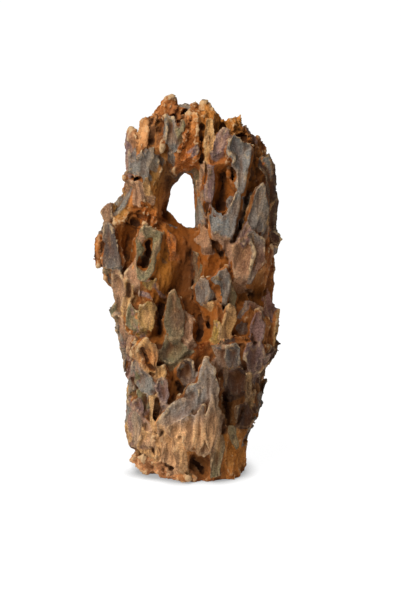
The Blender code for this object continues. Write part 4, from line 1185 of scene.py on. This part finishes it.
# The plates' own zones, which overlay the finish of each plate
# The umber zone on the hole's left inner wall is painted shade. The umber zone at the lower right is partly
# painted shade.
PLATE_ZONES = """
pale: 5 30 14 18 0.9; pale: 14 46 6 18 0.7; pale: -9 24 9 20 0.8; blue: -6 47 12 7 0.8;
blue: 4 57 7 9 0.6; dusk: 27 221 4 8 0.6; blue: 32 208 8 16 0.6; blue: 43 180 8 18 0.3;
pale: 43 184 6 14 0.2; blue: 24 172 9 12 0.5; dusk: -51 156 8 22 0.85; dusk: 27 84 5 9 0.6;
dusk: 40 83 5 9 0.5; umber: 32 62 14 22 0.8; orange: 47 140 6 14 0.5; mauve: -38 222 4 12 0.7;
umber: -13 196 8 15 0.95; brown: -8 88 9 8 0.35; brown: 1 190 3 12 0.6; pale: 10 72 6 12 0.5;
rust: -8 142 9 13 0.9; dusk: -9 108 7 14 0.75; dusk: 4 142 4 10 0.5; brown: 7 161 6 7 0.35;
umber: -30 214 7 8 0.25; pale: -24 28 13 12 0.7; rust: 42 116 9 8 0.5; ash: 10 66 9 18 0.8;
ash: -8 48 10 8 0.4; brown: 38 148 12 18 0.45; pale: -27 109 5 8 0.7; orange: -27 82 6 7 0.6;
"""
SCALE_SHADES = ["clay", "rust", "gold", "brown", "clay", "dusk", "rust", "tan", "clay", "rust"]
SHADE_SHARE = 0.5


# %% Tint the points
def linear(swatch):
    """A swatch as linear red, green and blue."""
    levels = np.array([int(swatch[place:place + 2], 16) for place in (1, 3, 5)]) / 255
    return np.where(levels <= 0.04045, levels / 12.92, ((levels + 0.055) / 1.055) ** 2.4)


places = np.array([vertex.co for vertex in skin.verts])
drawn = np.stack([places[:, 0], places[:, 2] + (places[:, 1] - SHEET_Y) * SIGHT_DROP], axis=1)


def overlay(colors, zones):
    """Spread the swatches of some zones over the colours of all points."""
    for swatch, stain in rows_of(zones):
        x, height, wide, tall, strength = groups(stain)[0]
        gap = np.linalg.norm((drawn - np.array([x, height])) / np.array([wide, tall]), axis=1)
        share = strength * np.exp(-gap ** 2)
        colors += (linear(SWATCHES[swatch]) - colors) * share[:, None]


clay = np.tile(linear(SWATCHES["clay"]), (len(places), 1))
finish_layer = skin.verts.layers.int["finish"]
numbers, calm = [np.array([vertex[layer] for vertex in skin.verts])
                 for layer in (skin.verts.layers.float["scale"], skin.verts.layers.float["hollow"])]
shades = np.array([linear(SWATCHES[name]) for name in SCALE_SHADES])
shade_share = SHADE_SHARE * (1 - np.minimum(1, 2 * calm))
clay += (shades[(numbers * 0.999 * len(shades)).astype(int)] - clay) * shade_share[:, None]
overlay(clay, CLAY_ZONES)
plate_swatches = np.array([linear(SWATCHES[name]) for name in FINISHES])
rock = plate_swatches[[vertex[finish_layer] for vertex in skin.verts]]
overlay(rock, PLATE_ZONES)
clay_layer = skin.verts.layers.float_color.new("clay_tint")
rock_layer = skin.verts.layers.float_color.new("rock_tint")
for vertex, clay_tint, rock_tint in zip(skin.verts, clay, rock):
    vertex[clay_layer] = (*clay_tint, 1.0)
    vertex[rock_layer] = (*rock_tint, 1.0)
print("tinted", len(places), "points from", len(SWATCHES), "swatches")

# %% [markdown]
# ## Helpers for patterns
# The finishes of this stone are all made of noise: fine or coarse, even or drawn out into streaks. A group
# of nodes keeps each effect in one place, with named inputs and outputs.

# %% Noise helpers
def speckle(tree, place, size, detail=3.0, roughness=0.6, distortion=0.0):
    """Noise whose lumps have a given size in metres, from 0 to 1."""
    made = tree.nodes.new("ShaderNodeTexNoise")
    fill(tree, made.inputs["Vector"], place)
    for name, value in (("Scale", 1.0 / size), ("Detail", detail), ("Roughness", roughness),
                        ("Distortion", distortion)):
        made.inputs[name].default_value = value
    return made.outputs[0]


def ragged(tree, value, noise_value, reach):
    """A value that noise lifts and sinks, so that its edges aren't clean."""
    swing = calculate(tree, "MULTIPLY", calculate(tree, "SUBTRACT", noise_value, 0.5), reach)
    return calculate(tree, "ADD", value, swing)


def squeezed(tree, place, height_share):
    """Coordinates whose pattern is drawn out along Z."""
    made = tree.nodes.new("ShaderNodeMapping")
    fill(tree, made.inputs["Vector"], place)
    made.inputs["Scale"].default_value = (1.0, 1.0, height_share)
    return made.outputs[0]


# %% Group helpers
def new_group(name, inputs, outputs):
    """A shader node group, whose sockets are given as two tables of name and kind."""
    tree = bpy.data.node_groups.new(name, "ShaderNodeTree")
    for way, sockets in (("INPUT", inputs), ("OUTPUT", outputs)):
        for socket, kind in rows_of(sockets):
            tree.interface.new_socket(socket, in_out=way, socket_type="NodeSocket" + kind)
    return tree, tree.nodes.new("NodeGroupInput").outputs, tree.nodes.new("NodeGroupOutput").inputs


def use_group(tree, group, **values):
    """Place a group in a tree and fill its inputs by name, with _ for a space."""
    made = tree.nodes.new("ShaderNodeGroup")
    made.node_tree = group
    for name, value in values.items():
        fill(tree, made.inputs[name.replace("_", " ")], value)
    return made.outputs


# %% [markdown]
# ## Upright streaks
# Both the plates and the clay show the upright layers of the rock as fine streaks. Noise on coordinates that
# are drawn out along Z gives them. The group puts out the streaks as a value for colour and for bump alike.

# %% Streak group
STREAK_SHARE = 0.16
BROAD_STREAK = 0.0040
FINE_STREAK = 0.0011

streak_group, given, made = new_group("upright streaks", "Place: Vector", "Broad: Float; Fine: Float")
drawn_out = squeezed(streak_group, given["Place"], STREAK_SHARE)
fill(streak_group, made["Broad"], speckle(streak_group, drawn_out, BROAD_STREAK, 2.0, 0.5, 0.4))
fill(streak_group, made["Fine"], speckle(streak_group, drawn_out, FINE_STREAK, 2.0, 0.6, 0.2))
print("streak group:", len(streak_group.nodes), "nodes")

# %% [markdown]
# ## Clay
# Clay is mottled: patches a centimetre wide pass from rust to tan, and grains of a millimetre are lighter or
# darker. Both come from the point's own tint, so that the stains of the whole stone show through.

# %% Clay group
CLAY_DARKER = (0.52, 0.44, 0.36)
CLAY_LIGHTER = (1.3, 1.25, 1.2)
CLAY_DUST = (0.36, 0.19, 0.075, 1.0)
CLAY_PIT = (0.5, 0.45, 0.4)
CLAY_PATCH = 0.009
CLAY_GRAIN = 0.0012
PATCH_SHARE = 0.5

clay_group, given, made = new_group(
    "crumbly clay", "Place: Vector; Tint: Color", "Color: Color; Grain: Float")
patch = speckle(clay_group, squeezed(clay_group, given["Place"], PATCH_SHARE), CLAY_PATCH, 4.0, 0.65)
grain = speckle(clay_group, given["Place"], CLAY_GRAIN, 3.0, 0.7)
darker = tinted(clay_group, given["Tint"], CLAY_DARKER)
lighter = blend(clay_group, 0.3, tinted(clay_group, given["Tint"], CLAY_LIGHTER), CLAY_DUST)
mottled = blend(clay_group, stretch(clay_group, patch, 0.36, 0.64), darker, lighter)
grained = blend(clay_group, stretch(clay_group, grain, 0.48, 0.66, 0.0, 0.6), mottled, lighter)
pitted = blend(clay_group, stretch(clay_group, grain, 0.44, 0.30, 0.0, 0.6), grained,
               tinted(clay_group, darker, CLAY_PIT))
fill(clay_group, made["Color"], pitted)
fill(clay_group, made["Grain"], grain)
print("clay group:", len(clay_group.nodes), "nodes")

# %% [markdown]
# ## Plates
# A plate has the gray or brown of its own finish, with stains of the clay round it, fine upright streaks,
# and a salt and pepper of light and dark grains. Towards its rim it passes into the tan of the clay.

# %% Plate group
PLATE_SHADE = (0.055, 0.045, 0.045, 1.0)
PLATE_LIGHT = (0.30, 0.25, 0.20, 1.0)
SALT = (1.85, 1.80, 1.75)
PEPPER = (0.42, 0.40, 0.38)
SALT_GRAIN = 0.0011
STAIN_PATCH = 0.008

rock_group, given, made = new_group(
    "stained plate", "Place: Vector; Tint: Color; Rim Tint: Color; Border: Float; Broad: Float; Fine: Float",
    "Color: Color")
salt = speckle(rock_group, given["Place"], SALT_GRAIN, 3.0, 0.7)
stain = speckle(rock_group, squeezed(rock_group, given["Place"], PATCH_SHARE), STAIN_PATCH, 2.0, 0.5, 0.5)
stained = blend(rock_group, stretch(rock_group, stain, 0.48, 0.74, 0.0, 0.45), given["Tint"],
                given["Rim Tint"])
shaded = blend(rock_group, stretch(rock_group, given["Broad"], 0.54, 0.32, 0.0, 0.4), stained, PLATE_SHADE)
lit = blend(rock_group, stretch(rock_group, given["Fine"], 0.52, 0.74, 0.0, 0.25), shaded,
            blend(rock_group, 0.5, given["Tint"], PLATE_LIGHT))
inner = ragged(rock_group, given["Border"], stain, 1.6)
framed = blend(rock_group, stretch(rock_group, inner, 0.9, 0.0, 0.0, 0.6), lit, given["Rim Tint"])
salted = blend(rock_group, stretch(rock_group, salt, 0.52, 0.66, 0.0, 0.7), framed,
               tinted(rock_group, framed, SALT))
peppered = blend(rock_group, stretch(rock_group, salt, 0.48, 0.34, 0.0, 0.8), salted,
                 tinted(rock_group, framed, PEPPER))
fill(rock_group, made["Color"], peppered)
print("plate group:", len(rock_group.nodes), "nodes")

# %% [markdown]
# ## Rims and clefts
# Where a plate ends, its broken rim is pale, almost cream, partly from weathering and partly as a painted
# highlight, and right under it lies the darkest cleft, which is painted shade. The ridge attribute tells
# both: it is above zero on a rim and below zero in a cleft. Noise breaks the pale line, as it is never
# weathered evenly.

# %% Group for weathered rims with a painted highlight, and painted shade in the clefts
WEAR_PATCH = 0.003

rim_weathering_highlight_and_cleft_shade_group, given, made = new_group(
    "worn rims and dark clefts", "Place: Vector; Ridge: Float; Broad: Float", "Rim: Float; Cleft: Float")
breakup = speckle(rim_weathering_highlight_and_cleft_shade_group, given["Place"], WEAR_PATCH, 4.0, 0.7)
# Pale rims on every crest: partly weathering, partly a painted highlight.
weathered_and_highlighted_rim = stretch(rim_weathering_highlight_and_cleft_shade_group, ragged(rim_weathering_highlight_and_cleft_shade_group, given["Ridge"], breakup, 1.1), 0.06, 0.45)
standing = stretch(rim_weathering_highlight_and_cleft_shade_group, given["Broad"], -0.8, 0.6)
fill(rim_weathering_highlight_and_cleft_shade_group, made["Rim"], calculate(rim_weathering_highlight_and_cleft_shade_group, "MULTIPLY", weathered_and_highlighted_rim, standing))
# Painted shade in the clefts, where the ridge and the broad relief sink.
sunk = calculate(rim_weathering_highlight_and_cleft_shade_group, "ADD", given["Ridge"], calculate(rim_weathering_highlight_and_cleft_shade_group, "MULTIPLY", given["Broad"], 0.35))
fill(rim_weathering_highlight_and_cleft_shade_group, made["Cleft"], stretch(rim_weathering_highlight_and_cleft_shade_group, sunk, -0.10, -1.1))
print("wear group:", len(rim_weathering_highlight_and_cleft_shade_group.nodes), "nodes")

# %% [markdown]
# ## The stone's material
# The groups meet here. Clay and plates are mixed by the plate attribute, whose edge is made ragged with
# noise. Hollows are stained with rust, and painted shade makes the middle of the clefts and hollows nearly
# black and darkens the deeper points. Rims are lightened, partly as weathering and partly as a painted
# highlight, and clefts are darkened with painted shade. The rock is dry and matt, so its roughness stays
# high, and two Bump nodes add the grain and the streaks that are too fine for the mesh.

# %% Material
RIM_CLAY = (0.30, 0.205, 0.11, 1.0)

stone_finish = bpy.data.materials.new("weathered stone")
stone_finish.use_nodes = True
tree = stone_finish.node_tree


def remembered(name, output="Fac"):
    """The output of an Attribute node."""
    made = tree.nodes.new("ShaderNodeAttribute")
    made.attribute_name = name
    return made.outputs[output]


place = tree.nodes.new("ShaderNodeTexCoord").outputs["Object"]
ridge, broad, depth, hollow = [remembered(name) for name in ("ridge", "broad", "depth", "hollow")]
clay_tint = remembered("clay_tint", "Color")
rim_tint = blend(tree, 0.65, clay_tint, RIM_CLAY)
streaks = use_group(tree, streak_group, Place=place)
clay_parts = use_group(tree, clay_group, Place=place, Tint=clay_tint)
rock_tint = remembered("rock_tint", "Color")
rock_parts = use_group(tree, rock_group, Place=place, Tint=rock_tint, Rim_Tint=rim_tint,
                       Border=remembered("border"), Broad=streaks["Broad"], Fine=streaks["Fine"])
rim_weathering_highlight_and_cleft_shade = use_group(tree, rim_weathering_highlight_and_cleft_shade_group, Place=place, Ridge=ridge, Broad=broad)

# %% Colour of the stone
STREAK_DARKER = (0.42, 0.34, 0.28)
RUST = (0.125, 0.040, 0.003, 1.0)
# Painted shade: nearly black along the middle of the clefts and hollows.
PAINTED_CAVE_SHADE = (0.040, 0.015, 0.006, 1.0)
# Painted shade: the deeper a point lies below the big masses, the darker it is.
PAINTED_DEPTH_SHADE = (0.070, 0.022, 0.006, 1.0)
# Painted shade in the clefts under the rims.
PAINTED_CLEFT_SHADE = (0.040, 0.014, 0.005, 1.0)
# Pale cream of the rims: partly weathering, partly a painted highlight.
PALE_RIM_AND_PAINTED_HIGHLIGHT = (0.50, 0.36, 0.20, 1.0)

plate_edge = ragged(tree, remembered("plate"), speckle(tree, place, WEAR_PATCH, 3.0), 1.2)
on_plate = stretch(tree, plate_edge, 0.2, 0.8)
off_plate = stretch(tree, on_plate, 0.2, 0.9, 1.0, 0.15)
rust_tint = blend(tree, 0.5, clay_tint, RUST)
color = blend(tree, on_plate, clay_parts["Color"], rock_parts["Color"])
color = blend(tree, stretch(tree, streaks["Broad"], 0.54, 0.34, 0.0, 0.6), color,
              tinted(tree, color, STREAK_DARKER))
rust_share = calculate(tree, "MULTIPLY", stretch(tree, hollow, 0.1, 0.5, 0.0, 0.85), off_plate)
# Pale rims, partly weathering and partly a painted highlight, fainter in the hollows.
weathered_rim_and_highlight_share = calculate(tree, "MULTIPLY", rim_weathering_highlight_and_cleft_shade["Rim"], stretch(tree, hollow, 0.1, 0.4, 0.8, 0.15))
# Rust stains the hollows. Then painted shade darkens the middle of the clefts and hollows and the deeper
# points, the pale rims are partly weathering and partly a painted highlight, and painted shade fills the
# clefts.
for share, stain_color in (
        (rust_share, rust_tint),
        (stretch(tree, broad, 0.2, -2.2, 0.0, 0.8), rust_tint),
        (stretch(tree, hollow, 0.6, 0.95, 0.0, 0.8), PAINTED_CAVE_SHADE),
        (stretch(tree, depth, 5.0, 14.0, 0.0, 0.4), PAINTED_DEPTH_SHADE),
        (weathered_rim_and_highlight_share, blend(tree, 0.6, rim_tint, PALE_RIM_AND_PAINTED_HIGHLIGHT)),
        (calculate(tree, "MULTIPLY", rim_weathering_highlight_and_cleft_shade["Cleft"], 0.85), PAINTED_CLEFT_SHADE)):
    color = blend(tree, share, color, stain_color)

# %% Grain and roughness
surface = tree.nodes["Principled BSDF"].inputs
fill(tree, surface["Base Color"], color)
fill(tree, surface["Roughness"], stretch(tree, clay_parts["Grain"], 0.3, 0.7, 0.82, 0.96))
surface["Specular IOR Level"].default_value = 0.12
normal = None
for height, strength, distance in ((clay_parts["Grain"], 0.9, 0.0010), (streaks["Fine"], 0.25, 0.0005)):
    bump = tree.nodes.new("ShaderNodeBump")
    bump.inputs["Strength"].default_value = strength
    bump.inputs["Distance"].default_value = distance
    fill(tree, bump.inputs["Height"], height)
    if normal is not None:
        fill(tree, bump.inputs["Normal"], normal)
    normal = bump.outputs["Normal"]
fill(tree, surface["Normal"], normal)
print("material nodes:", len(tree.nodes))

# %% [markdown]
# ## The stone in its place
# The mesh is scaled from drawn millimetres to metres and becomes the one piece of this object. It takes the
# place of the CAD solid and rides on its body.

# %% Finish the stone
bmesh.ops.scale(skin, vec=(MM, MM, MM), verts=skin.verts)
stone = bpy.data.objects.new("stone", as_mesh(skin, "stone"))
stone.data.shade_smooth()
stone.data.materials.append(stone_finish)
bpy.context.scene.collection.objects.link(stone)
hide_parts("dragon_stone")
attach(stone, "root")
